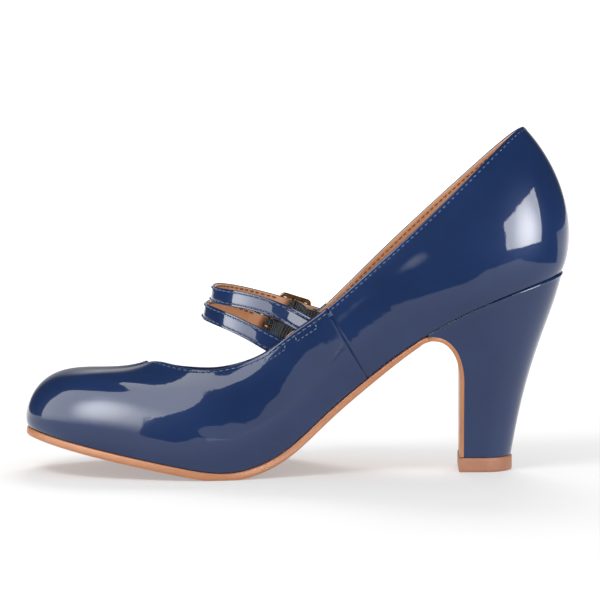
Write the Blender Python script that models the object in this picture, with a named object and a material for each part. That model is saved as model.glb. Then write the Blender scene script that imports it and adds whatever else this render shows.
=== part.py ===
"""A woman's mary jane pump for the right foot, standing on its heel tip and tread.

Metres, +Z up. The toe points to -X, the medial (big toe) side faces -Y and the lateral side +Y.
The origin is on the floor, in the middle of the shoe's footprint.
"""

import math

import bmesh
import bpy
import numpy as np

# Sizes of the last
LENGTH = 0.228  # toe tip to the back of the heel, as it stands
BALL_WIDTH = 0.0765  # feather line across the ball
COLLAR_WIDTH = 0.054  # topline across the foot
HEEL_HEIGHT = 0.0785  # seat at the back, above the tread's own feather line
BACK_HEIGHT = 0.0615  # topline above the seat at the back
TOE_SPRING = 0.0165  # toe tip's feather line above the tread's

# Sizes of the pieces
GAP = 0.0003  # between touching pieces
WALL = 0.0018  # patent, stiffener and lining together
SEAM_STEP = 0.0005  # the vamp's edge lies this far over the quarters
SOLE_THICKNESS = 0.0034
SHANK_THICKNESS = 0.0021
SOLE_LIP = 0.0008  # outsole beyond the feather line
TREAD_SINK = 0.0002  # worn flat off the tread's lowest stretch
INSOLE_THICKNESS = 0.0020
TIP_HEIGHT = 0.0060
TIP_LENGTH = 0.0226
TIP_WIDTH = 0.0245
TIP_BACK = 0.0211  # heel's last point to the tip's back edge, level
TIP_LIP = 0.0004  # top piece beyond the heel block
HEEL_LIP = 0.0005  # heel block beyond the feather line
FLAP_THICKNESS = 0.0014  # outsole's flap down the front of the heel
STRAP_WIDTH = 0.0069
STRAP_THICKNESS = 0.0015
ELASTIC_WIDTH = 0.0066
ELASTIC_THICKNESS = 0.0009
STRAP_TUCK = 0.0080  # how far an end goes down inside the wall
TAIL_LENGTH = 0.0150  # strap beyond the buckle's middle bar
BUCKLE_LENGTH = 0.0140
BUCKLE_WIDTH = 0.0108
BUCKLE_RAIL = 0.0014
BUCKLE_PLATE = 0.0010
BUCKLE_BAR = 0.0010
PRONG_RADIUS = 0.0005
SKIM = 0.0006  # strap or elastic to the wall that it runs beside

# Bottom line of the last from toe tip to the back of the seat, seen from the side.
# toe is a share of TOE_SPRING, heel a share of HEEL_HEIGHT, thick runs from shank (0) to forepart sole (1).
BOTTOM_COLUMNS = ("along", "toe", "heel", "thick")
BOTTOM_LINE = (
    (0.000, 0.954, 0.000, 0.860),
    (0.100, 0.656, 0.000, 1.020),
    (0.200, 0.364, 0.000, 1.030),
    (0.280, 0.147, 0.000, 1.010),
    (0.345, 0.000, 0.000, 1.020),
    (0.390, 0.000, 0.001, 1.020),
    (0.430, 0.000, 0.030, 0.990),
    (0.480, 0.000, 0.106, 0.870),
    (0.550, 0.000, 0.284, 0.700),
    (0.620, 0.000, 0.456, 0.500),
    (0.700, 0.000, 0.635, 0.060),
    (0.780, 0.000, 0.782, -0.320),
    (0.860, 0.000, 0.895, -0.300),
    (0.930, 0.000, 0.975, -0.300),
    (0.990, 0.000, 1.030, -0.300),
)

# Sections of the upper from toe tip to the back of the heel. Each joins a place on the feather line (foot, a
# share of LENGTH) to one on the topline (top, a share of LENGTH).
# inner and outer: feather line's half breadths, medial and lateral, as shares of BALL_WIDTH.
# collar: the topline's half breadth as a share of COLLAR_WIDTH. wall: its height above the foot, as a share of
# BACK_HEIGHT. fall: how much lower the lateral side is, as a share of BACK_HEIGHT.
# rise and swell: how straight the wall stands and how far it bulges over the feather line (share of wall height,
# share of BALL_WIDTH). drop, cover and crown: how the wall turns in to the topline (share of wall height, share
# of the way back out to the foot, share of BALL_WIDTH).
SECTION_COLUMNS = (
    "foot", "inner", "outer", "top", "collar", "wall", "fall", "rise", "swell", "drop", "cover", "crown", "puff",
)
SECTIONS = (
    (0.0056, 0.030, -0.030, 0.2209, 0.000, 0.431, 0.000, 0.344, 0.080, 0.415, 0.598, 0.000, 0.144),
    (0.0110, 0.145, 0.095, 0.2230, 0.082, 0.428, 0.018, 0.344, 0.080, 0.415, 0.598, 0.000, 0.144),
    (0.0340, 0.250, 0.200, 0.2300, 0.165, 0.464, 0.040, 0.352, 0.078, 0.404, 0.606, 0.000, 0.137),
    (0.0740, 0.345, 0.300, 0.2440, 0.255, 0.507, 0.057, 0.373, 0.072, 0.381, 0.628, 0.000, 0.114),
    (0.1300, 0.412, 0.380, 0.2680, 0.340, 0.536, 0.071, 0.415, 0.062, 0.332, 0.668, 0.000, 0.080),
    (0.2000, 0.458, 0.440, 0.3010, 0.412, 0.574, 0.078, 0.462, 0.052, 0.271, 0.709, 0.000, 0.035),
    (0.2800, 0.490, 0.482, 0.3440, 0.458, 0.631, 0.086, 0.479, 0.047, 0.234, 0.723, 0.002, 0.008),
    (0.3600, 0.474, 0.508, 0.3900, 0.480, 0.710, 0.094, 0.440, 0.050, 0.240, 0.700, 0.008, 0.000),
    (0.4400, 0.398, 0.482, 0.4400, 0.488, 0.735, 0.099, 0.400, 0.062, 0.270, 0.600, 0.018, 0.000),
    (0.5300, 0.312, 0.412, 0.4900, 0.490, 0.629, 0.084, 0.360, 0.080, 0.290, 0.400, 0.028, 0.000),
    (0.6280, 0.268, 0.340, 0.5540, 0.490, 0.488, 0.066, 0.320, 0.086, 0.290, 0.200, 0.034, 0.000),
    (0.7200, 0.284, 0.316, 0.6400, 0.500, 0.516, 0.038, 0.289, 0.080, 0.275, 0.150, 0.037, 0.000),
    (0.8100, 0.322, 0.330, 0.7350, 0.506, 0.646, 0.028, 0.266, 0.074, 0.253, 0.200, 0.038, 0.000),
    (0.8850, 0.322, 0.322, 0.8180, 0.440, 0.819, 0.036, 0.234, 0.073, 0.247, 0.450, 0.041, 0.000),
    (0.9420, 0.262, 0.262, 0.8700, 0.330, 0.925, 0.037, 0.200, 0.076, 0.279, 0.750, 0.049, 0.000),
    (0.9760, 0.160, 0.160, 0.9020, 0.185, 0.982, 0.028, 0.188, 0.083, 0.333, 0.950, 0.053, 0.000),
    (0.9861, 0.000, 0.000, 0.9154, 0.000, 0.983, 0.000, 0.188, 0.085, 0.353, 1.000, 0.053, 0.000),
)
SEAM_SECTION = 10  # the vamp ends and the quarters begin along this section, on both sides
SHANK_SECTION = 11  # the outsole leaves the upper just after this section

# Back of the heel block from its foot (0) to the seat (1): share of the overhang reached at each level.
HEEL_BACK_COLUMNS = ("level", "out")
HEEL_BACK = ((0.00, 0.000), (0.19, 0.115), (0.46, 0.340), (0.68, 0.600), (0.90, 0.895), (1.00, 1.000))

# Mesh counts
HALF_STATIONS = 38  # stations along one side of the upper
OUTER_ROWS = 11
INNER_ROWS = 8
HEEL_STATIONS = 25
BREAST_STATIONS = 12

NAVY = (0.010, 0.022, 0.085)
TAN = (0.62, 0.28, 0.14)
LINING = (0.76, 0.45, 0.27)
BLACK = (0.012, 0.012, 0.014)
BRASS = (0.45, 0.30, 0.13)


def cubic(knots, values, at, period=None):
    """Smooth cubic curve through values at knots, read at the places in at. With a period it closes on itself."""
    knots, values, at = (np.asarray(a, float) for a in (knots, values, at))
    flat = values.ndim == 1
    values = values.reshape(len(knots), -1)
    n = len(knots)
    if period:
        knots = np.append(knots, knots[0] + period)
        values = np.vstack([values, values[:1]])
    steps = np.diff(knots)
    slopes = np.diff(values, axis=0) / steps[:, None]
    system = np.zeros((n, n))
    right = np.zeros((n, values.shape[1]))
    for i in range(n):
        if period or 0 < i < n - 1:
            before, after = steps[i - 1], steps[i]
            system[i, i - 1] += before
            system[i, i] += 2 * (before + after)
            system[i, (i + 1) % n] += after
            right[i] = 6 * (slopes[i] - slopes[i - 1])
        else:
            system[i, i] = 1
    bend = np.linalg.solve(system, right)
    if period:
        bend = np.vstack([bend, bend[:1]])
        at = (at - knots[0]) % period + knots[0]
    k = np.clip(np.searchsorted(knots, at, side="right") - 1, 0, len(steps) - 1)
    h = steps[k][..., None]
    a = (knots[k + 1] - at)[..., None] / h
    b = 1 - a
    read = a * values[k] + b * values[k + 1] + ((a**3 - a) * bend[k] + (b**3 - b) * bend[k + 1]) * h * h / 6
    return read[..., 0] if flat else read


def unit(v):
    return v / np.linalg.norm(v, axis=-1, keepdims=True)


def column(table, names, name):
    return np.array([row[names.index(name)] for row in table])


def bottom(name, x):
    return cubic(column(BOTTOM_LINE, BOTTOM_COLUMNS, "along"), column(BOTTOM_LINE, BOTTOM_COLUMNS, name), x / LENGTH)


def feather_height(x):
    """Height of the last's bottom line at x from the toe tip."""
    tread = SOLE_THICKNESS - TREAD_SINK
    return tread + TOE_SPRING * bottom("toe", x) + HEEL_HEIGHT * bottom("heel", x)


def sole_thickness(x):
    return SHANK_THICKNESS + (SOLE_THICKNESS - SHANK_THICKNESS) * bottom("thick", x)


def section_rows():
    """The sections as one closed loop of rows: down the medial side from the toe, and back up the lateral side."""
    c = {name: column(SECTIONS, SECTION_COLUMNS, name) for name in SECTION_COLUMNS}
    foot_x, top_x = c["foot"] * LENGTH, c["top"] * LENGTH
    top_z = feather_height(foot_x) + c["wall"] * BACK_HEIGHT
    shared = [c[name] for name in ("rise", "swell", "drop", "cover", "crown", "puff")]
    medial = np.column_stack(
        [foot_x, -c["inner"] * BALL_WIDTH, top_x, -c["collar"] * COLLAR_WIDTH, top_z, *shared]
    )
    lateral_z = top_z - c["fall"] * BACK_HEIGHT
    lateral = np.column_stack(
        [foot_x, c["outer"] * BALL_WIDTH, top_x, c["collar"] * COLLAR_WIDTH, lateral_z, *shared]
    )
    steps = sum(np.linalg.norm(np.diff(side[:, :2], axis=0), axis=1) for side in (medial, lateral)) / 2
    knots = np.concatenate([[0], np.cumsum(steps)])
    around = 2 * knots[-1]
    return np.concatenate([knots, around - knots[-2:0:-1]]), np.vstack([medial, lateral[-2:0:-1]]), around, knots


LOOP_KNOTS, LOOP_ROWS, AROUND, ROW_AT = section_rows()
SEAM_AT = ROW_AT[SEAM_SECTION]


def outward(points):
    """Level direction across a loop of points, away from its inside (the loop runs toe, medial, heel, lateral)."""
    ahead = unit(points[:, 1, :2] - points[:, 0, :2])
    return np.column_stack([-ahead[:, 1], ahead[:, 0], np.zeros(len(ahead))]) * -1, ahead


def loop_frame(s):
    """Rows at the places s around the shoe, with the feather point, topline point and their level directions."""
    small = AROUND * 1e-5
    near = cubic(LOOP_KNOTS, LOOP_ROWS, np.column_stack([s - small, s, s + small]), AROUND)
    row = near[:, 1]
    foot = np.column_stack([row[:, 0], row[:, 1], feather_height(row[:, 0]) + GAP])
    top = row[:, 2:5]
    foot_out, foot_ahead = outward(near[:, [0, 2], 0:2])
    top_out, top_ahead = outward(near[:, [0, 2], 2:4])
    return row, foot, top, foot_out, foot_ahead, top_out, top_ahead


def outer_points(s, t):
    """The quarters' outer surface: a cubic from the feather line (t = 0) to the topline (t = 1) at each place s."""
    row, foot, top, foot_out, foot_ahead, top_out, top_ahead = loop_frame(s)
    rise, swell, drop, cover, crown, puff = row[:, 5:].T[..., None]
    across = top - foot
    height = across[:, 2:]
    up = np.array([0, 0, 1.0])
    foot_slant = np.column_stack([(across[:, :2] * foot_ahead).sum(1, keepdims=True) * foot_ahead, 0 * height])
    top_slant = np.column_stack([(across[:, :2] * top_ahead).sum(1, keepdims=True) * top_ahead, 0 * height])
    reach = -(across * top_out).sum(1, keepdims=True)
    low = foot + rise * (height * up + foot_slant) + swell * BALL_WIDTH * foot_out
    high = top - drop * (height * up + top_slant) + (cover * reach + crown * BALL_WIDTH) * top_out
    t = np.asarray(t)[None, :, None]
    corners = [p[:, None, :] for p in (foot, low, high, top)]
    weights = ((1 - t) ** 3, 3 * t * (1 - t) ** 2, 3 * t * t * (1 - t), t**3)
    surface = sum(w * p for w, p in zip(weights, corners))
    return surface + (puff * BACK_HEIGHT)[:, None] * up * 16 * (t * (1 - t)) ** 2


def outer_normals(s, t):
    ds, dt = AROUND * 1e-4, 1e-3
    t = np.asarray(t, float)
    t_low, t_high = np.clip(t - dt, 0, 1), np.clip(t + dt, 0, 1)
    along = outer_points(s + ds, t) - outer_points(s - ds, t)
    up = outer_points(s, t_high) - outer_points(s, t_low)
    return unit(np.cross(along, up))


def inner_points(s, t):
    """The lining's surface, one wall inside the outer one, its lower edge cut level with the feather line."""
    points = outer_points(s, t) - WALL * outer_normals(s, t)
    foot = np.asarray(t) == 0
    points[:, foot, 2] = feather_height(points[:, foot, 0]) + GAP
    return points


def stations(count):
    """Places around the shoe, alike on both sides, closer where the toe and heel turn."""
    share = np.linspace(0, 1, count)
    half = (share - 0.09 * np.sin(2 * math.pi * share) / (2 * math.pi) * 2) * ROW_AT[-1]
    return half


def body_stations():
    """One side's stations for the upper and what lies against it, with a pair at the side seam."""
    half = stations(HALF_STATIONS)
    half = half[np.abs(half - SEAM_AT) > AROUND * 0.002]
    edge = AROUND * 0.0006
    return np.sort(np.concatenate([half, [SEAM_AT - edge, SEAM_AT + edge]]))


def mirrored(half):
    return np.concatenate([half, AROUND - half[-2:0:-1]])


def new_object(name, points, faces, colour, roughness, metallic=0.0):
    mesh = bpy.data.meshes.new(name)
    mesh.from_pydata([tuple(p) for p in points], [], [tuple(int(i) for i in f) for f in faces])
    shaper = bmesh.new()
    shaper.from_mesh(mesh)
    bmesh.ops.remove_doubles(shaper, verts=shaper.verts, dist=1e-7)
    bmesh.ops.recalc_face_normals(shaper, faces=shaper.faces)
    shaper.to_mesh(mesh)
    shaper.free()
    obj = bpy.data.objects.new(name, mesh)
    bpy.context.scene.collection.objects.link(obj)
    mesh.materials.append(material(name, colour, roughness, metallic))
    mesh.shade_smooth()
    mesh.set_sharp_from_angle(angle=math.radians(35))
    return obj


def material(name, colour, roughness, metallic):
    made = bpy.data.materials.new(name)
    made.use_nodes = True
    shader = made.node_tree.nodes["Principled BSDF"]
    shader.inputs["Base Color"].default_value = (*colour, 1)
    shader.inputs["Roughness"].default_value = roughness
    shader.inputs["Metallic"].default_value = metallic
    return made


def ring_faces(count, first, second, closed=True):
    """Quads between two rows of count points that start at first and second."""
    last = count if closed else count - 1
    return [
        (first + i, first + (i + 1) % count, second + (i + 1) % count, second + i) for i in range(last)
    ]


def make_upper():
    """One hollow wall around the foot: outer skin, rounded topline, lining and lower edge."""
    s = mirrored(body_stations())
    on_vamp = (np.minimum(s, AROUND - s) < SEAM_AT).astype(float)[:, None, None]
    t_out = np.linspace(0, 1, OUTER_ROWS)
    t_in = np.linspace(1, 0, INNER_ROWS)
    outer = outer_points(s, t_out) + SEAM_STEP * on_vamp * outer_normals(s, t_out)
    inner = inner_points(s, t_in)
    rim = (outer[:, -1] + inner[:, 0]) / 2 + np.array([0, 0, 0.35 * WALL])
    outer[:, 0, 2] = feather_height(outer[:, 0, 0]) + GAP
    rows = [outer[:, j] for j in range(OUTER_ROWS)] + [rim] + [inner[:, j] for j in range(INNER_ROWS)]
    n = len(s)
    faces = []
    for j in range(len(rows)):
        faces += ring_faces(n, j * n, (j + 1) % len(rows) * n)
    return new_object("upper", np.vstack(rows), faces, NAVY, 0.08)


def chain_slab(name, levels, colour, roughness):
    """A closed slab from level chains, each running from one open end round the tip to the other open end."""
    k = len(levels[0])
    faces = []
    for j in range(len(levels) - 1):
        faces += ring_faces(k, j * k, (j + 1) * k, closed=False)
        faces.append((j * k, (j + 1) * k, (j + 2) * k - 1, (j + 1) * k - 1))
    for first in (0, (len(levels) - 1) * k):
        for i in range(k // 2):
            faces.append((first + i, first + i + 1, first + k - 2 - i, first + k - 1 - i))
    faces = [tuple(dict.fromkeys(f)) for f in faces]
    return new_object(name, np.vstack(levels), faces, colour, roughness)


def feather_chain(s, lip):
    """Feather-line points at the places s, moved outward by lip, at their own height on the bottom line."""
    _, foot, _, out, _, _, _ = loop_frame(s)
    points = foot + lip * out
    points[:, 2] = feather_height(points[:, 0])
    return points


def make_insole():
    half = body_stations()
    s = mirrored(half)
    edge = feather_chain(s, -(WALL + GAP))
    inner_edge = feather_chain(s, -(WALL + GAP + INSOLE_THICKNESS / 2))
    up = np.array([0, 0, 1.0])
    levels = [
        edge + up * GAP,
        edge + up * (GAP + INSOLE_THICKNESS * 0.6),
        inner_edge + up * (GAP + INSOLE_THICKNESS),
    ]
    n, last = len(s), len(half) - 1
    faces = ring_faces(n, 0, n) + ring_faces(n, n, 2 * n)
    for first in (0, 2 * n):
        for i in range(last):
            faces.append((first + i, first + i + 1, first + (n - i - 1) % n, first + (n - i) % n))
    faces = [tuple(dict.fromkeys(f)) for f in faces]
    return new_object("insole", np.vstack(levels), faces, LINING, 0.6)


def breast_line():
    """The heel's front in side view: out of the shank line, over, and down to the tip, as points with normals.

    A normal points to the heel's side, which is where the upper is along the shank.
    """
    start_x = SECTIONS[SHANK_SECTION][0] * LENGTH
    small = LENGTH * 0.001
    start = np.array([start_x, float(feather_height(start_x))])
    slope = unit(np.array([2 * small, float(feather_height(start_x + small) - feather_height(start_x - small))]))
    heel_back = SECTIONS[-1][0] * LENGTH
    front_x = heel_back - TIP_BACK + TIP_LIP - TIP_LENGTH + FLAP_THICKNESS + TIP_LIP
    foot_z = TIP_HEIGHT + GAP
    turn_z = foot_z + 0.40 * HEEL_HEIGHT
    bend = front_x - start_x
    corners = [
        start,
        start + slope * bend * 0.46,
        np.array([front_x, turn_z + bend * 0.98]),
        np.array([front_x, turn_z]),
    ]
    t = np.linspace(0, 1, BREAST_STATIONS * 4)[:, None]
    curve = sum(
        w * p for w, p in zip(((1 - t) ** 3, 3 * t * (1 - t) ** 2, 3 * t * t * (1 - t), t**3), corners)
    )
    straight = np.column_stack([np.full(BREAST_STATIONS, front_x), np.linspace(turn_z, foot_z, BREAST_STATIONS + 1)[1:]])
    line = np.vstack([curve, straight])
    ahead = unit(np.gradient(line, axis=0))
    return line, np.column_stack([-ahead[:, 1], ahead[:, 0]])


def flap_rows(line):
    """Which points of the breast line the flap's rows and the heel's levels stand on."""
    return np.linspace(0, len(line) - 1, 2 * BREAST_STATIONS + 1).astype(int)[1:]


def heel_shape():
    """Level loops of the heel block, from the tip up to the seat, and the breast line that they start from."""
    line, normal = breast_line()
    face = line + normal * GAP
    seat = feather_height(face[:, 0])
    thin = SHANK_THICKNESS * 0.35
    foot_z = TIP_HEIGHT + GAP
    level_of = (face[:, 1] - foot_z) / (seat - foot_z)
    shared = [i for i in flap_rows(line) if face[i, 1] < seat[i] - thin][::-1]
    levels = np.append(level_of[shared], 1.0)
    levels[0] = 0.0
    front_x = np.append(face[shared, 0], face[shared[-1], 0])
    heel_back = SECTIONS[-1][0] * LENGTH
    tip_back = heel_back - TIP_BACK
    v = np.linspace(0, 1, HEEL_STATIONS)
    corner = np.interp(front_x[-1], SECTION_FOOT_X, ROW_AT)
    top = feather_chain(corner + v * (AROUND - 2 * corner), HEEL_LIP)
    back_x = top[:, 0].max()
    tip = tip_outline(front_x[0], tip_back, v, 0.0)
    share_top = (top[:, 0] - top[0, 0]) / (back_x - top[0, 0])
    share_tip = (tip[:, 0] - tip[0, 0]) / (tip_back - tip[0, 0])
    loops = []
    for level, x0 in zip(levels, front_x):
        blend = level**1.7
        out = float(cubic(column(HEEL_BACK, HEEL_BACK_COLUMNS, "level"), column(HEEL_BACK, HEEL_BACK_COLUMNS, "out"), level))
        x1 = tip_back + (back_x - tip_back) * out
        x = x0 + (share_tip + (share_top - share_tip) * blend) * (x1 - x0)
        y = tip[:, 1] + (top[:, 1] - tip[:, 1]) * blend
        z = foot_z + level * (feather_height(x) - foot_z)
        loops.append(np.column_stack([x, y, z]))
    return loops


def tip_outline(front_x, back_x, v, lip):
    """Plan outline of the heel's foot: straight front and sides, round back. v runs from corner to corner."""
    half = TIP_WIDTH / 2
    straight = (back_x - front_x) - half
    arc = math.pi * half
    run = v * (2 * straight + arc)
    turn = np.clip((run - straight) / half, 0, math.pi)
    x = front_x + np.minimum(run, straight) + half * np.sin(turn) - np.maximum(run - straight - arc, 0)
    y = -half * np.cos(turn)
    centre = front_x + straight
    out = np.where(
        (turn > 0)[:, None] & (turn < math.pi)[:, None],
        np.column_stack([x - centre, y]) / half,
        np.column_stack([0 * x, np.sign(y)]),
    )
    return np.column_stack([x, y]) + lip * out


SECTION_FOOT_X = column(SECTIONS, SECTION_COLUMNS, "foot") * LENGTH


def make_heel():
    return chain_slab("heel", heel_shape(), NAVY, 0.1)


def make_heel_tip():
    """The top piece under heel and flap, with its lower edge eased."""
    loops = heel_shape()
    tip_back = SECTIONS[-1][0] * LENGTH - TIP_BACK
    front_x = loops[0][0, 0] - GAP - FLAP_THICKNESS - TIP_LIP
    v = np.linspace(0, 1, HEEL_STATIONS)
    ease = 0.0006
    full = tip_outline(front_x, tip_back, v, TIP_LIP)
    small = tip_outline(front_x + ease, tip_back, v, TIP_LIP - ease)
    heights = ((small, 0.0), (full, ease), (full, TIP_HEIGHT))
    levels = [np.column_stack([outline, np.full(len(v), z)]) for outline, z in heights]
    return chain_slab("heel_tip", levels, TAN, 0.45)


def make_outsole():
    """Sole from the toe to the shank's end, then the flap down the heel's front, eased along both edges."""
    shank_at = ROW_AT[SHANK_SECTION]
    half = body_stations()
    half = np.append(half[half < shank_at - AROUND * 0.004], shank_at)
    plan = feather_chain(mirrored_open(half), SOLE_LIP)
    plan[:, 2] -= GAP * 0.3
    thick = sole_thickness(plan[:, 0])
    small = LENGTH * 0.001
    run = np.column_stack(
        [np.full(len(plan), 2 * small), feather_height(plan[:, 0] + small) - feather_height(plan[:, 0] - small)]
    )
    run = unit(run)
    down = np.column_stack([run[:, 1], 0 * thick, -run[:, 0]])
    line, normal = breast_line()
    keep = flap_rows(line)
    line, normal = line[keep], normal[keep]
    heel = heel_shape()
    corner_z = np.array([loop[0, 2] for loop in heel])
    flap = {}
    for side, index in (("medial", 0), ("lateral", -1)):
        corner_y = np.array([loop[index, 1] for loop in heel])
        shank_y = plan[0 if side == "medial" else -1, 1]
        y = np.interp(line[:, 1], corner_z, corner_y)
        over = np.clip((line[:, 0] - plan[0, 0]) / (heel[-1][0, 0] - plan[0, 0]), 0, 1)
        y = np.where(line[:, 0] < heel[-1][0, 0], shank_y + (corner_y[-1] - shank_y) * over, y)
        flap[side] = np.column_stack([line[:, 0], y, line[:, 1]])
    flap_down = np.column_stack([-normal[:, 0], 0 * normal[:, 0], -normal[:, 1]])
    fade = np.clip(np.arange(1, len(line) + 1) / (BREAST_STATIONS * 0.8), 0, 1)
    flap_thick = thick[0] + (FLAP_THICKNESS - thick[0]) * fade
    chain = np.vstack([flap["medial"][::-1], plan, flap["lateral"]])
    below = np.vstack([flap_down[::-1], down, flap_down])
    depth = np.concatenate([flap_thick[::-1], thick, flap_thick])[:, None]
    inward = np.zeros_like(chain)
    _, _, _, out, _, _, _ = loop_frame(mirrored_open(half))
    count = len(line)
    inward[:count, 1] = 1
    inward[-count:, 1] = -1
    inward[count:-count] = -out
    ease = np.minimum(depth, SOLE_THICKNESS) * 0.30
    levels = [
        chain + inward * ease * 0.4,
        chain + below * depth * 0.20,
        chain + below * depth * 0.70,
        chain + below * depth + inward * ease,
    ]
    for level in levels:
        level[:, 2] = np.maximum(level[:, 2], 0)
        on_flap = np.r_[0:count, len(level) - count:len(level)]
        level[on_flap, 2] = np.maximum(level[on_flap, 2], TIP_HEIGHT + GAP)
    return chain_slab("outsole", levels, TAN, 0.4)


def mirrored_open(half):
    """The places of one side as an open chain from its far end round the toe to the other side's far end."""
    return np.concatenate([half[::-1], AROUND - half[1:]])


# Each strap's run over the foot. inner and outer: where it crosses the topline, medial and lateral (shares of
# LENGTH). apex and height: its highest bend, from the toe tip (share of LENGTH) and above the medial crossing
# (share of BACK_HEIGHT). bow_in and bow_out: how much steeper it starts than it arrives at the bend, on each side.
# square: how square the arch is. lean_foot and lean_top: degrees that the strap's width leans toward the heel, at
# the topline and at the bend.
STRAP_COLUMNS = (
    "name", "inner", "outer", "apex", "height", "bow_in", "bow_out", "square", "lean_foot", "lean_top",
)
STRAPS = (
    ("back", 0.5134, 0.5290, 0.3440, 0.172, 2.30, 1.10, 2.30, 29.0, 10.0),
    ("front", 0.4600, 0.4785, 0.3300, 0.198, 1.42, 1.30, 2.30, 30.0, 13.0),
)
BUCKLE_REACH = 0.0088  # buckle's middle bar to the lateral topline, along the strap


def topline_at(share, side):
    """Point of the outer topline at that share of LENGTH on a side (-1 medial, 1 lateral), and its place s."""
    half = np.linspace(0, ROW_AT[-1], 400)
    row = cubic(LOOP_KNOTS, LOOP_ROWS, half, AROUND)
    k = np.interp(share * LENGTH, row[:, 2], half)
    s = k if side < 0 else AROUND - k
    return outer_points(np.array([s]), [1.0])[0, 0], s


class Wall:
    """Outer and inner wall near a place on the topline: how far out they stand, looked up in side view."""

    def __init__(self, share, side):
        _, s = topline_at(share, side)
        near = s + np.linspace(-0.06, 0.06, 110) * AROUND
        t = np.linspace(0.5, 1, 90)
        step = SEAM_STEP * outer_normals(near, t)
        self.side = side
        self.skins = {
            "outer": (outer_points(near, t) + step).reshape(-1, 3),
            "inner": inner_points(near, t).reshape(-1, 3),
        }

    def out(self, skin, x, z):
        points = self.skins[skin]
        apart = (points[:, 0] - x) ** 2 + (points[:, 2] - z) ** 2
        nearest = np.argpartition(apart, 6)[:6]
        weight = 1 / (apart[nearest] + 1e-10)
        return float((points[nearest, 1] * self.side * weight).sum() / weight.sum())

    def beside(self, skin, place, lean, clear):
        """How far out the middle of a strap lies beside the wall at a place, and how its width follows the wall."""
        half = STRAP_WIDTH / 2
        across = np.linspace(-half, half, 7)
        heights = np.array([self.out(skin, place[0] + lean[0] * k, place[2] + lean[2] * k) for k in across])
        slant = (heights[-1] - heights[0]) / (2 * half)
        level = heights - slant * across
        out = level.max() + clear if skin == "outer" else level.min() - clear
        return out * self.side, slant * self.side


def along(points):
    return np.concatenate([[0], np.cumsum(np.linalg.norm(np.diff(points, axis=0), axis=1))])


def resample(points, extra, spacing):
    """The same route as a smooth curve with points evenly spaced, and its extra values at those points."""
    run = along(points)
    count = max(8, int(round(run[-1] / spacing)))
    even = np.linspace(0, run[-1], count)
    return cubic(run, points, even), cubic(run, extra, even)


def lean_vector(degrees):
    turn = np.radians(degrees)
    return np.stack([np.sin(turn), 0 * turn, np.cos(turn)], axis=-1)


def frame_along(route, lean):
    """Unit directions along a route: ahead, across the strap's width, and out of its face."""
    ahead = unit(np.gradient(route, axis=0))
    wide = unit(lean - (lean * ahead).sum(1, keepdims=True) * ahead)
    return ahead, wide, np.cross(wide, ahead)


def strap_route(strap):
    """Middle line of a strap from inside the medial wall, over the foot and down the lateral wall's outside."""
    c = dict(zip(STRAP_COLUMNS, strap))
    clear = SKIM + STRAP_THICKNESS / 2
    foot_lean = lean_vector(c["lean_foot"])
    ends = {}
    for side, key, skin in ((-1, "inner", "inner"), (1, "outer", "outer")):
        wall = Wall(c[key], side)
        base, _ = topline_at(c[key], side)
        y, slant = wall.beside(skin, base, foot_lean, clear)
        ends[side] = (wall, np.array([base[0], y, base[2]]), slant, skin)
    medial, lateral = ends[-1][1], ends[1][1]
    apex = np.array([c["apex"] * LENGTH, 0.0, medial[2] + c["height"] * BACK_HEIGHT])
    turn = np.linspace(math.pi, 0, 27)[1:-1]
    q = np.sin(turn) ** (2 / c["square"])
    across = np.sign(np.cos(turn)) * np.abs(np.cos(turn)) ** (2 / c["square"])
    over = np.empty((len(turn), 3))
    base = np.where(across[:, None] < 0, medial, lateral)
    over[:, 0] = base[:, 0] + (apex[0] - base[:, 0]) * q
    over[:, 1] = np.abs(base[:, 1]) * across
    bow = np.where(across < 0, c["bow_in"], c["bow_out"])
    over[:, 2] = base[:, 2] + (apex[2] - base[:, 2]) * (1 - (1 - q) ** bow)
    lean_over = lean_vector(c["lean_foot"] + (c["lean_top"] - c["lean_foot"]) * q)
    pieces, leans = [over], [lean_over]
    lengths = {-1: STRAP_TUCK, 1: TAIL_LENGTH - BUCKLE_REACH + 0.0012}
    for side in (-1, 1):
        wall, start, slant, skin = ends[side]
        steep = c["bow_in"] if side < 0 else c["bow_out"]
        down = unit(np.array([start[0] - apex[0], 0.0, (start[2] - apex[2]) * steep]))
        run, lean = [], []
        for distance in np.linspace(0, lengths[side], 5):
            place = start + down * distance
            place[1], slope = wall.beside(skin, place, foot_lean, clear)
            run.append(place)
            lean.append(foot_lean + np.array([0.0, slope, 0.0]))
        order = slice(None, None, -1) if side < 0 else slice(None)
        pieces.insert(0 if side < 0 else 2, np.array(run)[order])
        leans.insert(0 if side < 0 else 2, np.array(lean)[order])
    route, lean = resample(np.vstack(pieces), np.vstack(leans), 0.0006)
    return route, lean, ends[1]


def smooth_step(share):
    share = np.clip(share, 0, 1)
    return share * share * (3 - 2 * share)


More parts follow.
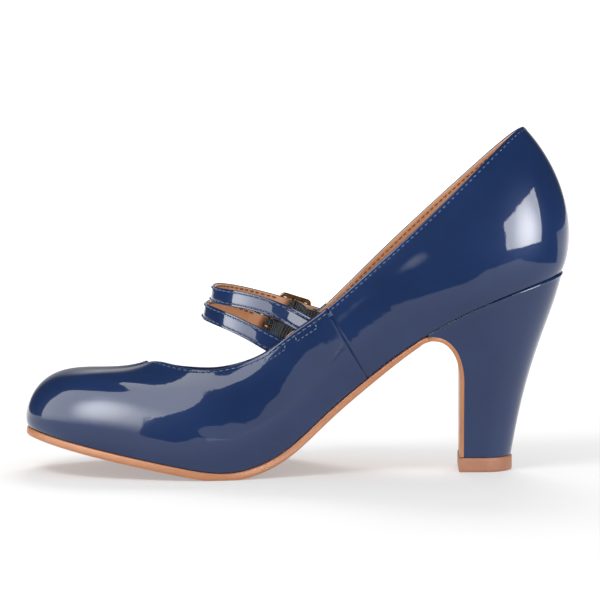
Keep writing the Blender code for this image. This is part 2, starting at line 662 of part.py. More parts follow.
def strap_and_buckle(strap):
    """The strap's line, threaded through its buckle, and the buckle's middle with its directions."""
    route, lean, (wall, base, _, _) = strap_route(strap)
    run = along(route)
    base_at = run[int(np.argmin(np.linalg.norm(route - base, axis=1)))]
    ahead = run - (base_at - BUCKLE_REACH)
    at = [np.array([np.interp(k, ahead, route[:, i]) for i in range(3)]) for k in (-0.0078, 0.0, 0.0085)]
    forward = unit(at[2] - at[0])
    centre = at[0] + forward * ((at[1] - at[0]) @ forward)
    on_line = centre + ahead[:, None] * forward
    near = 1 - smooth_step((np.abs(ahead) - 0.0078) / 0.0050)
    near = np.where(ahead > 0, np.maximum(near, 0), near)[:, None]
    route = route + near * (on_line - route)
    lean_at = np.array([np.interp(0.0, ahead, lean[:, i]) for i in range(3)])
    blend = near * (lean_at - lean)
    lean = lean + blend
    _, wide, out = frame_along(route, lean)
    wide_at = unit(lean_at - (lean_at @ forward) * forward)
    normal = np.cross(wide_at, forward)
    under = BUCKLE_PLATE / 2 + GAP + STRAP_THICKNESS / 2
    over = hook_radius() + ELASTIC_THICKNESS / 2 + GAP + STRAP_THICKNESS / 2
    half_window = BUCKLE_LENGTH / 2 - BUCKLE_RAIL
    hop = 1 - smooth_step((np.abs(ahead) - 0.0016) / (half_window - 0.0019))
    route = route + out * ((over + under) * hop)[:, None]
    for i in np.flatnonzero(ahead > 0.0035):
        more = GAP * smooth_step((ahead[i] - BUCKLE_LENGTH / 2) / BUCKLE_RAIL)
        clear_of_wall, _ = wall.beside("outer", route[i], unit(lean[i]), SKIM + more + STRAP_THICKNESS / 2)
        route[i, 1] = max(route[i, 1], clear_of_wall)
    keep = ahead <= TAIL_LENGTH
    middle = centre + normal * under
    return route[keep], lean[keep], ahead[keep], middle, (forward, wide_at, normal), wall


def hook_radius():
    """From the middle bar's axis to the middle of the elastic round it."""
    return math.hypot(BUCKLE_BAR, BUCKLE_PLATE) / 2 + GAP * 0.5 + ELASTIC_THICKNESS / 2


def elastic_line(middle, axes, wall):
    """From inside the lateral wall up to the buckle's middle bar, and round it as an open hook."""
    forward, wide, normal = axes
    radius = hook_radius()
    points, leans = [], []
    clear = SKIM + ELASTIC_THICKNESS / 2
    for distance in np.linspace(BUCKLE_REACH + STRAP_TUCK, BUCKLE_REACH - 0.0030, 6):
        place = middle + forward * distance
        place[1], slope = wall.beside("inner", place, unit(wide * np.array([1, 0, 1.0])), clear)
        points.append(place)
        leans.append(wide + np.array([0.0, slope - wide[1], 0.0]))
    last = points[-1] - middle
    low = np.array([last @ forward, last @ normal])
    for share in (0.38, 0.70):
        ahead = 0.0016 + (low[0] - 0.0016) * (1 - share)
        points.append(middle + forward * ahead + normal * (-radius + (low[1] + radius) * (1 - share) ** 1.25))
        leans.append(wide)
    for degrees in (-35, -5, 25, 55, 85, 115, 145):
        turn = math.radians(degrees)
        points.append(middle - forward * radius * math.sin(turn) - normal * radius * math.cos(turn))
        leans.append(wide)
    return resample(np.array(points), np.array(leans), 0.0007)


def ribbon(name, route, lean, width, thickness, colour, roughness):
    """A flat strip along a route, with eased long edges. Its width may change along it."""
    _, wide, out = frame_along(route, lean)
    width = np.broadcast_to(width, len(route))[:, None]
    rim = 0.3 * thickness
    section = (
        (-0.5, 0.0, 1.0), (-0.5, 0.0, -1.0), (-0.15, 1.0, -1.0), (0.15, 1.0, -1.0),
        (0.5, 0.0, -1.0), (0.5, 0.0, 1.0), (0.15, 1.0, 1.0), (-0.15, 1.0, 1.0),
    )
    rows = []
    for through, at_edge, side in section:
        half = width / 2 - (1 - at_edge) * rim
        rows.append(route + out * thickness * through + wide * half * side)
    points = np.stack(rows, axis=1).reshape(-1, 3)
    k = len(section)
    faces = []
    for i in range(len(route) - 1):
        faces += ring_faces(k, i * k, (i + 1) * k)
    faces.append(tuple(range(k)))
    faces.append(tuple(range((len(route) - 1) * k, len(route) * k)))
    return new_object(name, points, faces, colour, roughness)


def cutter_box(name, centre, axes, sizes):
    """A hidden box for a Boolean, at centre, with its sides along axes."""
    signs = [(a, b, c) for a in (-1, 1) for b in (-1, 1) for c in (-1, 1)]
    points = [centre + sum(sign * axis * size / 2 for sign, axis, size in zip(trio, axes, sizes)) for trio in signs]
    faces = ((0, 1, 3, 2), (4, 6, 7, 5), (0, 4, 5, 1), (2, 3, 7, 6), (0, 2, 6, 4), (1, 5, 7, 3))
    box = new_object(name, points, faces, BRASS, 0.5)
    box.hide_render = True
    box.display_type = "WIRE"
    return box


def cut(obj, cutter):
    modifier = obj.modifiers.new("cut_" + cutter.name, "BOOLEAN")
    modifier.operation = "DIFFERENCE"
    modifier.solver = "EXACT"
    modifier.object = cutter


def make_strap(strap):
    name = strap[0]
    route, lean, ahead, middle, axes, wall = strap_and_buckle(strap)
    forward, wide, normal = axes
    taper = np.clip((TAIL_LENGTH - ahead) / (STRAP_WIDTH * 0.55), 0, 1)
    width = STRAP_WIDTH * (0.30 + 0.70 * np.sqrt(1 - (1 - taper) ** 2))
    coarse = (ahead < -BUCKLE_LENGTH * 0.7) & (np.arange(len(ahead)) % 3 > 0)
    coarse[0] = False
    keep = ~coarse
    strap_obj = ribbon("strap_" + name, route[keep], lean[keep], width[keep], STRAP_THICKNESS, NAVY, 0.08)
    elastic_route, elastic_lean = elastic_line(middle, axes, wall)
    elastic_obj = ribbon(
        "elastic_" + name, elastic_route, elastic_lean, ELASTIC_WIDTH, ELASTIC_THICKNESS, BLACK, 0.8
    )
    slot = 2 * PRONG_RADIUS + 4 * GAP
    prong_slot = cutter_box(
        "slot_" + name, middle - forward * BUCKLE_LENGTH * 0.10, axes, (BUCKLE_LENGTH * 0.57, slot, 0.0100)
    )
    cut(strap_obj, prong_slot)
    elastic_slot = cutter_box("elastic_slot_" + name, middle, axes, (0.0060, slot, 0.0064))
    cut(elastic_obj, elastic_slot)
    make_buckle(name, middle, axes)
    make_prong(name, middle, axes)


def make_buckle(name, middle, axes):
    """Flat brass frame with a middle bar: a block with two windows."""
    forward, wide, normal = axes
    outer = cutter_box("buckle_frame_" + name, middle, axes, (BUCKLE_LENGTH, BUCKLE_WIDTH, BUCKLE_PLATE))
    outer.hide_render = False
    outer.display_type = "TEXTURED"
    window = (BUCKLE_LENGTH - 2 * BUCKLE_RAIL - BUCKLE_BAR) / 2
    for tag, sign in (("up", -1), ("down", 1)):
        centre = middle + forward * sign * (BUCKLE_BAR + window) / 2
        hole = cutter_box(
            f"window_{tag}_{name}", centre, axes, (window, BUCKLE_WIDTH - 2 * BUCKLE_RAIL, BUCKLE_PLATE * 4)
        )
        cut(outer, hole)
    bevel = outer.modifiers.new("ease", "BEVEL")
    bevel.width = BUCKLE_PLATE * 0.22
    bevel.segments = 2
    bevel.limit_method = "ANGLE"


def make_prong(name, middle, axes):
    """Round pin hooked under the middle bar, up through the strap's slot to rest over the end bar."""
    forward, wide, normal = axes
    clear = BUCKLE_PLATE / 2 + GAP + PRONG_RADIUS
    side = BUCKLE_BAR / 2 + GAP + PRONG_RADIUS
    rail = BUCKLE_LENGTH / 2
    route = (
        (side * 1.15, clear * 0.2),
        (side * 0.85, -clear * 0.9),
        (0.0, -clear * 1.25),
        (-side * 0.95, -clear * 0.8),
        (-side * 1.35, clear * 0.35),
        (-rail * 0.60, clear * 1.25),
        (-rail * 0.80, clear * 1.20),
        (-rail - BUCKLE_RAIL * 0.25, clear * 1.15),
    )
    route = np.array(route)
    points = resample(route, route, 0.0006)[0]
    curve = bpy.data.curves.new("buckle_prong_" + name, "CURVE")
    curve.dimensions = "3D"
    curve.bevel_depth = PRONG_RADIUS
    curve.bevel_resolution = 2
    curve.use_fill_caps = True
    spline = curve.splines.new("POLY")
    spline.points.add(len(points) - 1)
    for point, (along, up) in zip(spline.points, points):
        place = middle + forward * along + normal * up
        point.co = (*place, 1)
    obj = bpy.data.objects.new("buckle_prong_" + name, curve)
    bpy.context.scene.collection.objects.link(obj)
    curve.materials.append(material("buckle_prong_" + name, BRASS, 0.3, 1.0))


def stand_on_origin():
    """Hangs every piece from one empty that puts the middle of the footprint at the origin."""
    bpy.context.view_layer.update()
    graph = bpy.context.evaluated_depsgraph_get()
    low, high = np.full(3, 1e9), np.full(3, -1e9)
    for obj in bpy.context.scene.objects:
        if obj.hide_render:
            continue
        mesh = obj.evaluated_get(graph).to_mesh()
        points = np.array([v.co for v in mesh.vertices])
        low, high = np.minimum(low, points.min(0)), np.maximum(high, points.max(0))
    shoe = bpy.data.objects.new("shoe", None)
    bpy.context.scene.collection.objects.link(shoe)
    shoe.location = (-(low[0] + high[0]) / 2, -(low[1] + high[1]) / 2, 0)
    for obj in list(bpy.context.scene.objects):
        if obj is not shoe:
            obj.parent = shoe


def main():
    for obj in list(bpy.data.objects):
        bpy.data.objects.remove(obj, do_unlink=True)
    make_upper()
    make_insole()
    make_outsole()
    make_heel()
    make_heel_tip()
    for strap in STRAPS:
        make_strap(strap)
    stand_on_origin()


main()
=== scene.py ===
"""Dressed model of the mary jane pump: fine meshes, stitches, materials, light and camera round the frame.

Metres, +Z up, the toe towards -X and the medial side towards -Y. The shape functions work from the toe tip
at x = 0 on the shoe's own centre line, and PLACE moves what they give into the frame.
"""

import math

import bmesh
import bpy
import numpy as np
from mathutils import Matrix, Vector


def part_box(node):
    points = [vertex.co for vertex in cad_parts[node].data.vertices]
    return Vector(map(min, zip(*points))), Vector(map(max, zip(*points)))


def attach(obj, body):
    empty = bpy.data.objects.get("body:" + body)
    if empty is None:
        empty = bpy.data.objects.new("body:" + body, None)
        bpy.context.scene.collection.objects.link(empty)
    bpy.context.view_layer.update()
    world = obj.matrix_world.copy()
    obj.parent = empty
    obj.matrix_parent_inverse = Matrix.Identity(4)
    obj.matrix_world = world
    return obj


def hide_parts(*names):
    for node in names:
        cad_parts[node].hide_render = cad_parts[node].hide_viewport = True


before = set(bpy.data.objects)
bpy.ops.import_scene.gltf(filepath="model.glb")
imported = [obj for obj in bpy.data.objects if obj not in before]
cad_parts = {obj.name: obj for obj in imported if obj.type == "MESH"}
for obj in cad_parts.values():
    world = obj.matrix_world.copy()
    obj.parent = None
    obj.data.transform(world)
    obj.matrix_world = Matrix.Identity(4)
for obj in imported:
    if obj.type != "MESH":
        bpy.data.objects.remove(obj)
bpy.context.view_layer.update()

# Sizes of the last and its pieces
LENGTH = 0.228
BALL_WIDTH = 0.0765
COLLAR_WIDTH = 0.054
HEEL_HEIGHT = 0.0785
BACK_HEIGHT = 0.0615
TOE_SPRING = 0.0165
GAP = 0.0003
WALL = 0.0018
SEAM_STEP = 0.0005
SOLE_THICKNESS = 0.0034
SHANK_THICKNESS = 0.0021
SOLE_LIP = 0.0008
TREAD_SINK = 0.0002
INSOLE_THICKNESS = 0.0020
TIP_HEIGHT = 0.0060
TIP_LENGTH = 0.0226
TIP_WIDTH = 0.0245
TIP_BACK = 0.0211
TIP_LIP = 0.0004
HEEL_LIP = 0.0005
FLAP_THICKNESS = 0.0014
STRAP_WIDTH = 0.0069
STRAP_THICKNESS = 0.0015
ELASTIC_WIDTH = 0.0066
ELASTIC_THICKNESS = 0.0009
STRAP_TUCK = 0.0080
TAIL_LENGTH = 0.0150
BUCKLE_LENGTH = 0.0140
BUCKLE_WIDTH = 0.0108
BUCKLE_RAIL = 0.0014
BUCKLE_PLATE = 0.0010
BUCKLE_BAR = 0.0010
BUCKLE_REACH = 0.0088
PRONG_RADIUS = 0.0005
SKIM = 0.0006

# Sizes that only show up close
FLAP_TUCK = 0.0006  # how far the flap reaches into the heel's front, so that no light shows between
PATENT = 0.00115  # patent and its backing
RIM_LINING = 0.00015  # lining's edge above the outer topline
EDGE_SHOWN = (0.474, 0.497)  # medial shares between which the lining's edge stands higher
EDGE_RISE = 0.0008
EDGE_EASE = 0.002
STITCH_VALLEY = 0.00003
STITCH_PITCH = 0.0026
THREAD = 0.00025  # radius
TOP_ROW = 0.00115  # topline's stitches below its edge
STRAP_ROW = 0.00105  # strap's stitches inside its edges
RAIL_SHOWN = 0.00185  # buckle's cast rails
PLATE_PROUD = 0.00025
PRONG_SLOT = 0.00115
RIB_PITCH = 0.00118
STITCH_LIFT = 0.00006
HOLE_TOP = 0.00007
HOLE_RINGS = ((0.00030, 0.00006), (0.00040, -0.00008))  # reach and rise of a needle hole's two rings
FRAME_CORNER = 0.0012
RAIL_POWER = 0.72  # squareness of a cast rail's section
SLOT_LENGTH = 0.0019
SLOT_BACK = 0.0033  # prong's slot behind the buckle's middle
CORD = 0.00030
SEAM_SINK = 0.00030  # quarters' edge below their own surface at the seam
WELD = 2e-7
POCKETS = ((0.0, 0.0, 0.0030, 0.0028), (0.0012, 0.0008, 0.0022, 0.0020))  # back, up, length, depth
HOOK_REACH = 0.0016
HOOK_EASE = 1.25
BOX_REACH = (-0.0195, 0.0150)  # a strap's box of stitches beside its middle, as shares of LENGTH
BOX_DEPTH = 0.0036
BOX_PITCH = 0.0021
TACK_REACH = 0.0016
BUCKLE_STRAIGHT = 0.0078  # strap's straight run on each side of the buckle's middle
STRAIGHT_TO = 0.0085  # where its direction is read, towards the tail
STRAIGHT_EASE = 0.0050
HOP_FLAT = 0.0016  # half of the strap's run over the middle bar
HOP_MARGIN = 0.0019
WALL_FROM = 0.0035  # from here on the strap keeps clear of the wall
TAIL_SPARE = 0.0012
ELASTIC_RISE = 0.0030  # elastic's last point at the wall before the buckle
STRAP_STEP = 0.0006
ELASTIC_SINK = {"back": 0.0012, "front": -0.0017}  # elastic's line below the strap's at the wall

BOTTOM_COLUMNS = ("along", "toe", "heel", "thick")
BOTTOM_LINE = (
    (0.000, 0.954, 0.000, 0.860),
    (0.100, 0.656, 0.000, 1.020),
    (0.200, 0.364, 0.000, 1.030),
    (0.280, 0.147, 0.000, 1.010),
    (0.345, 0.000, 0.000, 1.020),
    (0.390, 0.000, 0.001, 1.020),
    (0.430, 0.000, 0.030, 0.990),
    (0.480, 0.000, 0.106, 0.870),
    (0.550, 0.000, 0.284, 0.700),
    (0.620, 0.000, 0.456, 0.500),
    (0.700, 0.000, 0.635, 0.060),
    (0.780, 0.000, 0.782, -0.320),
    (0.860, 0.000, 0.895, -0.300),
    (0.930, 0.000, 0.975, -0.300),
    (0.990, 0.000, 1.030, -0.300),
)
SECTION_COLUMNS = "foot inner outer top collar wall fall rise swell drop cover crown puff".split()
SECTIONS = (
    (0.0056, 0.030, -0.030, 0.2209, 0.000, 0.431, 0.000, 0.344, 0.080, 0.415, 0.598, 0.000, 0.144),
    (0.0110, 0.145, 0.095, 0.2230, 0.082, 0.428, 0.018, 0.344, 0.080, 0.415, 0.598, 0.000, 0.144),
    (0.0340, 0.250, 0.200, 0.2300, 0.165, 0.464, 0.040, 0.352, 0.078, 0.404, 0.606, 0.000, 0.137),
    (0.0740, 0.345, 0.300, 0.2440, 0.255, 0.507, 0.057, 0.373, 0.072, 0.381, 0.628, 0.000, 0.114),
    (0.1300, 0.412, 0.380, 0.2680, 0.340, 0.536, 0.071, 0.415, 0.062, 0.332, 0.668, 0.000, 0.080),
    (0.2000, 0.458, 0.440, 0.3010, 0.412, 0.574, 0.078, 0.462, 0.052, 0.271, 0.709, 0.000, 0.035),
    (0.2800, 0.490, 0.482, 0.3440, 0.458, 0.631, 0.086, 0.479, 0.047, 0.234, 0.723, 0.002, 0.008),
    (0.3600, 0.474, 0.508, 0.3900, 0.480, 0.710, 0.094, 0.440, 0.050, 0.240, 0.700, 0.008, 0.000),
    (0.4400, 0.398, 0.482, 0.4400, 0.488, 0.735, 0.099, 0.400, 0.062, 0.270, 0.600, 0.018, 0.000),
    (0.5300, 0.312, 0.412, 0.4900, 0.490, 0.629, 0.084, 0.360, 0.080, 0.290, 0.400, 0.028, 0.000),
    (0.6280, 0.268, 0.340, 0.5540, 0.490, 0.488, 0.066, 0.320, 0.086, 0.290, 0.200, 0.034, 0.000),
    (0.7200, 0.284, 0.316, 0.6400, 0.500, 0.516, 0.038, 0.289, 0.080, 0.275, 0.150, 0.037, 0.000),
    (0.8100, 0.322, 0.330, 0.7350, 0.506, 0.646, 0.028, 0.266, 0.074, 0.253, 0.200, 0.038, 0.000),
    (0.8850, 0.322, 0.322, 0.8180, 0.440, 0.819, 0.036, 0.234, 0.073, 0.247, 0.450, 0.041, 0.000),
    (0.9420, 0.262, 0.262, 0.8700, 0.330, 0.925, 0.037, 0.200, 0.076, 0.279, 0.750, 0.049, 0.000),
    (0.9760, 0.160, 0.160, 0.9020, 0.185, 0.982, 0.028, 0.188, 0.083, 0.333, 0.950, 0.053, 0.000),
    (0.9861, 0.000, 0.000, 0.9154, 0.000, 0.983, 0.000, 0.188, 0.085, 0.353, 1.000, 0.053, 0.000),
)
SEAM_SECTION = 10
SHANK_SECTION = 11
HEEL_BACK_COLUMNS = ("level", "out")
HEEL_BACK = ((0.00, 0.000), (0.19, 0.115), (0.46, 0.340), (0.68, 0.600), (0.90, 0.895), (1.00, 1.000))
STRAP_COLUMNS = "name inner outer apex height bow_in bow_out square lean_foot lean_top".split()
STRAPS = (
    ("back", 0.5134, 0.5290, 0.3440, 0.172, 2.30, 1.10, 2.30, 29.0, 10.0),
    ("front", 0.4600, 0.4785, 0.3300, 0.198, 1.42, 1.30, 2.30, 30.0, 13.0),
)
UP = np.array([0, 0, 1.0])


def cubic(knots, values, at, period=None):
    """Smooth cubic curve through values at knots, read at the places in at. With a period it closes."""
    knots, values, at = (np.asarray(a, float) for a in (knots, values, at))
    flat = values.ndim == 1
    values = values.reshape(len(knots), -1)
    n = len(knots)
    if period:
        knots = np.append(knots, knots[0] + period)
        values = np.vstack([values, values[:1]])
    steps = np.diff(knots)
    slopes = np.diff(values, axis=0) / steps[:, None]
    system = np.zeros((n, n))
    right = np.zeros((n, values.shape[1]))
    for i in range(n):
        if period or 0 < i < n - 1:
            before, after = steps[i - 1], steps[i]
            system[i, i - 1] += before
            system[i, i] += 2 * (before + after)
            system[i, (i + 1) % n] += after
            right[i] = 6 * (slopes[i] - slopes[i - 1])
        else:
            system[i, i] = 1
    bend = np.linalg.solve(system, right)
    if period:
        bend = np.vstack([bend, bend[:1]])
        at = (at - knots[0]) % period + knots[0]
    k = np.clip(np.searchsorted(knots, at, side="right") - 1, 0, len(steps) - 1)
    h = steps[k][..., None]
    a = (knots[k + 1] - at)[..., None] / h
    b = 1 - a
    read = a * values[k] + b * values[k + 1] + ((a**3 - a) * bend[k] + (b**3 - b) * bend[k + 1]) * h * h / 6
    return read[..., 0] if flat else read


def unit(v):
    return v / np.linalg.norm(v, axis=-1, keepdims=True)


def bezier(corners, t):
    """Cubic curve with four corners, read at t."""
    weights = ((1 - t) ** 3, 3 * t * (1 - t) ** 2, 3 * t * t * (1 - t), t**3)
    return sum(w * p for w, p in zip(weights, corners))


def circle(count):
    return np.linspace(0, 2 * math.pi, count, endpoint=False)


def read_along(at, run, values):
    """Rows of values, known at the distances in run, read at the distances in at."""
    return np.stack([np.interp(at, run, each) for each in values.T], axis=-1)


def column(table, names, name):
    return np.array([row[names.index(name)] for row in table])


def smooth_step(share):
    share = np.clip(share, 0, 1)
    return share * share * (3 - 2 * share)


def bottom(name, x):
    places, values = (column(BOTTOM_LINE, BOTTOM_COLUMNS, each) for each in ("along", name))
    return cubic(places, values, x / LENGTH)


def feather_height(x):
    """Height of the last's bottom line at x from the toe tip."""
    return SOLE_THICKNESS - TREAD_SINK + TOE_SPRING * bottom("toe", x) + HEEL_HEIGHT * bottom("heel", x)


def sole_thickness(x):
    return SHANK_THICKNESS + (SOLE_THICKNESS - SHANK_THICKNESS) * bottom("thick", x)


def section_rows():
    """The sections as one closed loop of rows: down the medial side from the toe, up the lateral side."""
    c = {name: column(SECTIONS, SECTION_COLUMNS, name) for name in SECTION_COLUMNS}
    foot_x, top_x = c["foot"] * LENGTH, c["top"] * LENGTH
    top_z = feather_height(foot_x) + c["wall"] * BACK_HEIGHT
    shared = [c[name] for name in ("rise", "swell", "drop", "cover", "crown", "puff")]
    sides = []
    for sign, name, z in ((-1, "inner", top_z), (1, "outer", top_z - c["fall"] * BACK_HEIGHT)):
        foot_y, top_y = sign * c[name] * BALL_WIDTH, sign * c["collar"] * COLLAR_WIDTH
        sides.append(np.column_stack([foot_x, foot_y, top_x, top_y, z, *shared]))
    steps = sum(np.linalg.norm(np.diff(side[:, :2], axis=0), axis=1) for side in sides) / 2
    knots = np.concatenate([[0], np.cumsum(steps)])
    around = 2 * knots[-1]
    rows = np.vstack([sides[0], sides[1][-2:0:-1]])
    return np.concatenate([knots, around - knots[-2:0:-1]]), rows, around, knots


LOOP_KNOTS, LOOP_ROWS, AROUND, ROW_AT = section_rows()
SEAM_AT = ROW_AT[SEAM_SECTION]


def outward(points):
    """Level direction across a loop of points, away from its inside, and the level direction along it."""
    ahead = unit(points[:, 1, :2] - points[:, 0, :2])
    return np.column_stack([ahead[:, 1], -ahead[:, 0], np.zeros(len(ahead))]), ahead


def loop_frame(s):
    """Rows at the places s around the shoe, with the feather and topline points and their directions."""
    small = AROUND * 1e-5
    near = cubic(LOOP_KNOTS, LOOP_ROWS, np.column_stack([s - small, s, s + small]), AROUND)
    row = near[:, 1]
    foot = np.column_stack([row[:, 0], row[:, 1], feather_height(row[:, 0]) + GAP])
    top = row[:, 2:5]
    foot_out, foot_ahead = outward(near[:, [0, 2], 0:2])
    top_out, top_ahead = outward(near[:, [0, 2], 2:4])
    return row, foot, top, foot_out, foot_ahead, top_out, top_ahead


def outer_points(s, t):
    """The quarters' outer surface: at each place s a cubic from the feather (t = 0) to the topline (1)."""
    row, foot, top, foot_out, foot_ahead, top_out, top_ahead = loop_frame(np.asarray(s, float))
    rise, swell, drop, cover, crown, puff = row[:, 5:].T[..., None]
    across = top - foot
    level, height = across[:, :2], across[:, 2:]
    foot_slant, top_slant = (
        np.column_stack([(level * ahead).sum(1, keepdims=True) * ahead, 0 * height])
        for ahead in (foot_ahead, top_ahead)
    )
    reach = -(across * top_out).sum(1, keepdims=True)
    low = foot + rise * (height * UP + foot_slant) + swell * BALL_WIDTH * foot_out
    high = top - drop * (height * UP + top_slant) + (cover * reach + crown * BALL_WIDTH) * top_out
    t = np.asarray(t, float)
    t = (t[None] if t.ndim == 1 else t)[..., None]
    surface = bezier([p[:, None, :] for p in (foot, low, high, top)], t)
    return surface + (puff * BACK_HEIGHT)[:, None] * UP * 16 * (t * (1 - t)) ** 2


def outer_normals(s, t):
    ds, dt = AROUND * 1e-4, 1e-3
    s, t = np.asarray(s, float), np.asarray(t, float)
    t_low, t_high = np.clip(t - dt, 0, 1), np.clip(t + dt, 0, 1)
    along = outer_points(s + ds, t) - outer_points(s - ds, t)
    up = outer_points(s, t_high) - outer_points(s, t_low)
    return unit(np.cross(along, up))


def topline_speed(s):
    """Length up the wall to a whole step of t, just below the topline."""
    h = 0.02
    near = outer_points(s, [1 - h, 1.0])
    return np.linalg.norm(near[:, 1] - near[:, 0], axis=1) / h


def share_below(s, distance):
    """How far up the wall (t) lies a distance below the topline, for each place s and each distance."""
    return 1 - np.asarray(distance)[None, :] / topline_speed(s)[:, None]


def on_vamp(s):
    """1 on the vamp, falling in a rounded edge at the side seams to a little below the quarters."""
    s = np.asarray(s) % AROUND
    inside = (SEAM_AT - np.minimum(s, AROUND - s)) / 0.0006
    return 1.6 * np.sqrt(np.clip(1 - (1 - np.clip(inside, 0, 1)) ** 2, 0, 1)) - 0.6


def seam_roll(s):
    """How far the quarters' edge rolls in beside the vamp, 1 at the seam."""
    s = np.asarray(s) % AROUND
    past = (np.minimum(s, AROUND - s) - SEAM_AT) / 0.0009
    return np.clip(1 - past, 0, 1) ** 2


def inner_points(s, t):
    return outer_points(s, t) - WALL * outer_normals(s, t)


def stations(count):
    """Places along one side of the shoe, closer where the toe and heel turn."""
    share = np.linspace(0, 1, count)
    return (share - 0.09 * np.sin(2 * math.pi * share) / (2 * math.pi) * 2) * ROW_AT[-1]


def feather_chain(s, lip):
    """Feather-line points at the places s, moved outward by lip, at their own height on the bottom line."""
    _, foot, _, out, _, _, _ = loop_frame(s)
    points = foot + lip * out
    points[:, 2] = feather_height(points[:, 0])
    return points


# The toe tip's place in the frame, from the top piece, which is symmetric about the shoe's own centre line
TIP_LOW, TIP_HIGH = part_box("heel_tip")
PLACE = np.array(
    [
        TIP_HIGH.x - (SECTIONS[-1][0] * LENGTH - TIP_BACK + TIP_LIP),
        (TIP_LOW.y + TIP_HIGH.y) / 2,
        0.0,
    ]
)


def new_object(name, points, faces, mend=True):
    """An object from points in the frame. Mended, its doubled points are welded, its faces turned outward."""
    mesh = bpy.data.meshes.new(name)
    mesh.from_pydata(np.asarray(points, float).reshape(-1, 3).tolist(), [], faces)
    if mend:
        shaper = bmesh.new()
        shaper.from_mesh(mesh)
        bmesh.ops.remove_doubles(shaper, verts=shaper.verts, dist=WELD)
        bmesh.ops.recalc_face_normals(shaper, faces=shaper.faces)
        shaper.to_mesh(mesh)
        shaper.free()
    made = bpy.data.objects.new(name, mesh)
    bpy.context.scene.collection.objects.link(made)
    return made


def shade(mesh, sharp=40):
    mesh.shade_smooth()
    mesh.set_sharp_from_angle(angle=math.radians(sharp))


def new_mesh(name, points, faces, material, slot, replaces=(), sharp=40):
    """A piece of the shoe from points in the shoe's own axes: placed, mended, shaded, riding on the frame."""
    piece = new_object(name, np.asarray(points, float).reshape(-1, 3) + PLACE, faces)
    shade(piece.data, sharp)
    piece.data.materials.append(material)
    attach(piece, "root")
    if replaces:
        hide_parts(*replaces)
    return piece


def quads(rows, columns, ring=False):
    """Faces of a grid whose columns close on themselves, and whose rows do too in a ring."""
    faces = []
    for i in range(rows if ring else rows - 1):
        a, b = i * columns, (i + 1) % rows * columns
        faces += [(a + j, b + j, b + (j + 1) % columns, a + (j + 1) % columns) for j in range(columns)]
    return faces


def loft(loops, cap=True, ring=False):
    """Points and faces of closed loops joined one after another, capped at both ends or closed to a ring."""
    loops = np.asarray(loops)
    rows, columns = loops.shape[:2]
    faces = quads(rows, columns, ring)
    if cap and not ring:
        faces.append(tuple(range(columns)))
        faces.append(tuple(range((rows - 1) * columns, rows * columns)))
    return loops.reshape(-1, 3), faces


def joined(solids):
    """Points and faces of several solids as one."""
    points, faces, start = [], [], 0
    for some_points, some_faces in solids:
        points.append(some_points)
        faces += [tuple(start + k for k in face) for face in some_faces]
        start += len(some_points)
    return np.vstack(points), faces


# Materials


class Nodes:
    """A node tree with short calls to add and join nodes. Inputs are given by name, with _ for a blank."""

    def __init__(self, owner):
        self.owner = owner
        owner.use_nodes = True
        self.tree = owner.node_tree
        self.shader = self.tree.nodes.get("Principled BSDF")

    def add(self, kind, **values):
        node = self.tree.nodes.new("ShaderNode" + kind)
        for key, value in values.items():
            socket = key.replace("_", " ")
            if socket in node.inputs:
                node.inputs[socket].default_value = value
            else:
                setattr(node, key, value)
        return node

    def set(self, **values):
        for key, value in values.items():
            self.shader.inputs[key.replace("_", " ")].default_value = value

    def join(self, source, output, target, socket):
        self.tree.links.new(source.outputs[output], target.inputs[socket])

    def noise(self, scale, detail, roughness=0.5):
        made = self.add("TexNoise", Scale=scale, Detail=detail, Roughness=roughness)
        self.join(self.add("TexCoord"), "Object", made, "Vector")
        return made

    def tint(self, source, low, high, start=0.3, end=0.7):
        """Colours the shader from low to high by a noise."""
        made = self.add("ValToRGB")
        for element, colour, position in zip(made.color_ramp.elements, (low, high), (start, end)):
            element.color = (*colour, 1)
            element.position = position
        self.join(source, "Fac", made, "Fac")
        self.join(made, "Color", self.shader, "Base Color")

    def bump(self, source, output, distance, under=None):
        made = self.add("Bump", Distance=distance, Strength=1.0)
        self.join(source, output, made, "Height")
        if under is not None:
            self.join(under, "Normal", made, "Normal")
        return made

    def map_range(self, source, output, low, high, start=0.0, end=1.0, ease="LINEAR"):
        limits = {"From_Min": start, "From_Max": end, "To_Min": low, "To_Max": high}
        made = self.add("MapRange", interpolation_type=ease, **limits)
        self.join(source, output, made, "Value")
        return made


def material_nodes(name):
    return Nodes(bpy.data.materials.new(name))


def patent_material(name, ripple=1.0):
    """Patent leather: deep navy under a clear, slightly rippled gloss."""
    n = material_nodes(name)
    n.tint(n.noise(35, 3), [c * 0.86 for c in NAVY], [c * 1.12 for c in NAVY])
    wide = n.bump(n.noise(95, 2), "Fac", 0.000055 * ripple)
    fine = n.bump(n.noise(900, 3), "Fac", 0.0000065 * ripple, under=wide)
    n.join(fine, "Normal", n.shader, "Normal")
    n.join(fine, "Normal", n.shader, "Coat Normal")
    n.set(Roughness=0.30, Coat_Weight=1.0, Coat_Roughness=0.035, Coat_IOR=1.5, Specular_IOR_Level=0.08)
    return n.owner


def leather_material(name, low, high, grain, depth, roughness, gloss=0.3):
    """Unpainted leather: mottled colour with pores."""
    n = material_nodes(name)
    n.tint(n.noise(60, 4, 0.6), low, high)
    pores = n.add("TexVoronoi", Scale=grain * 3.2)
    n.join(n.add("TexCoord"), "Object", pores, "Vector")
    skin = n.noise(grain, 5, 0.6)
    first = n.bump(skin, "Fac", depth)
    n.join(n.bump(pores, "Distance", depth * 0.5, under=first), "Normal", n.shader, "Normal")
    n.join(n.map_range(skin, "Fac", roughness - 0.1, roughness + 0.1), "Result", n.shader, "Roughness")
    n.set(Specular_IOR_Level=gloss)
    return n.owner


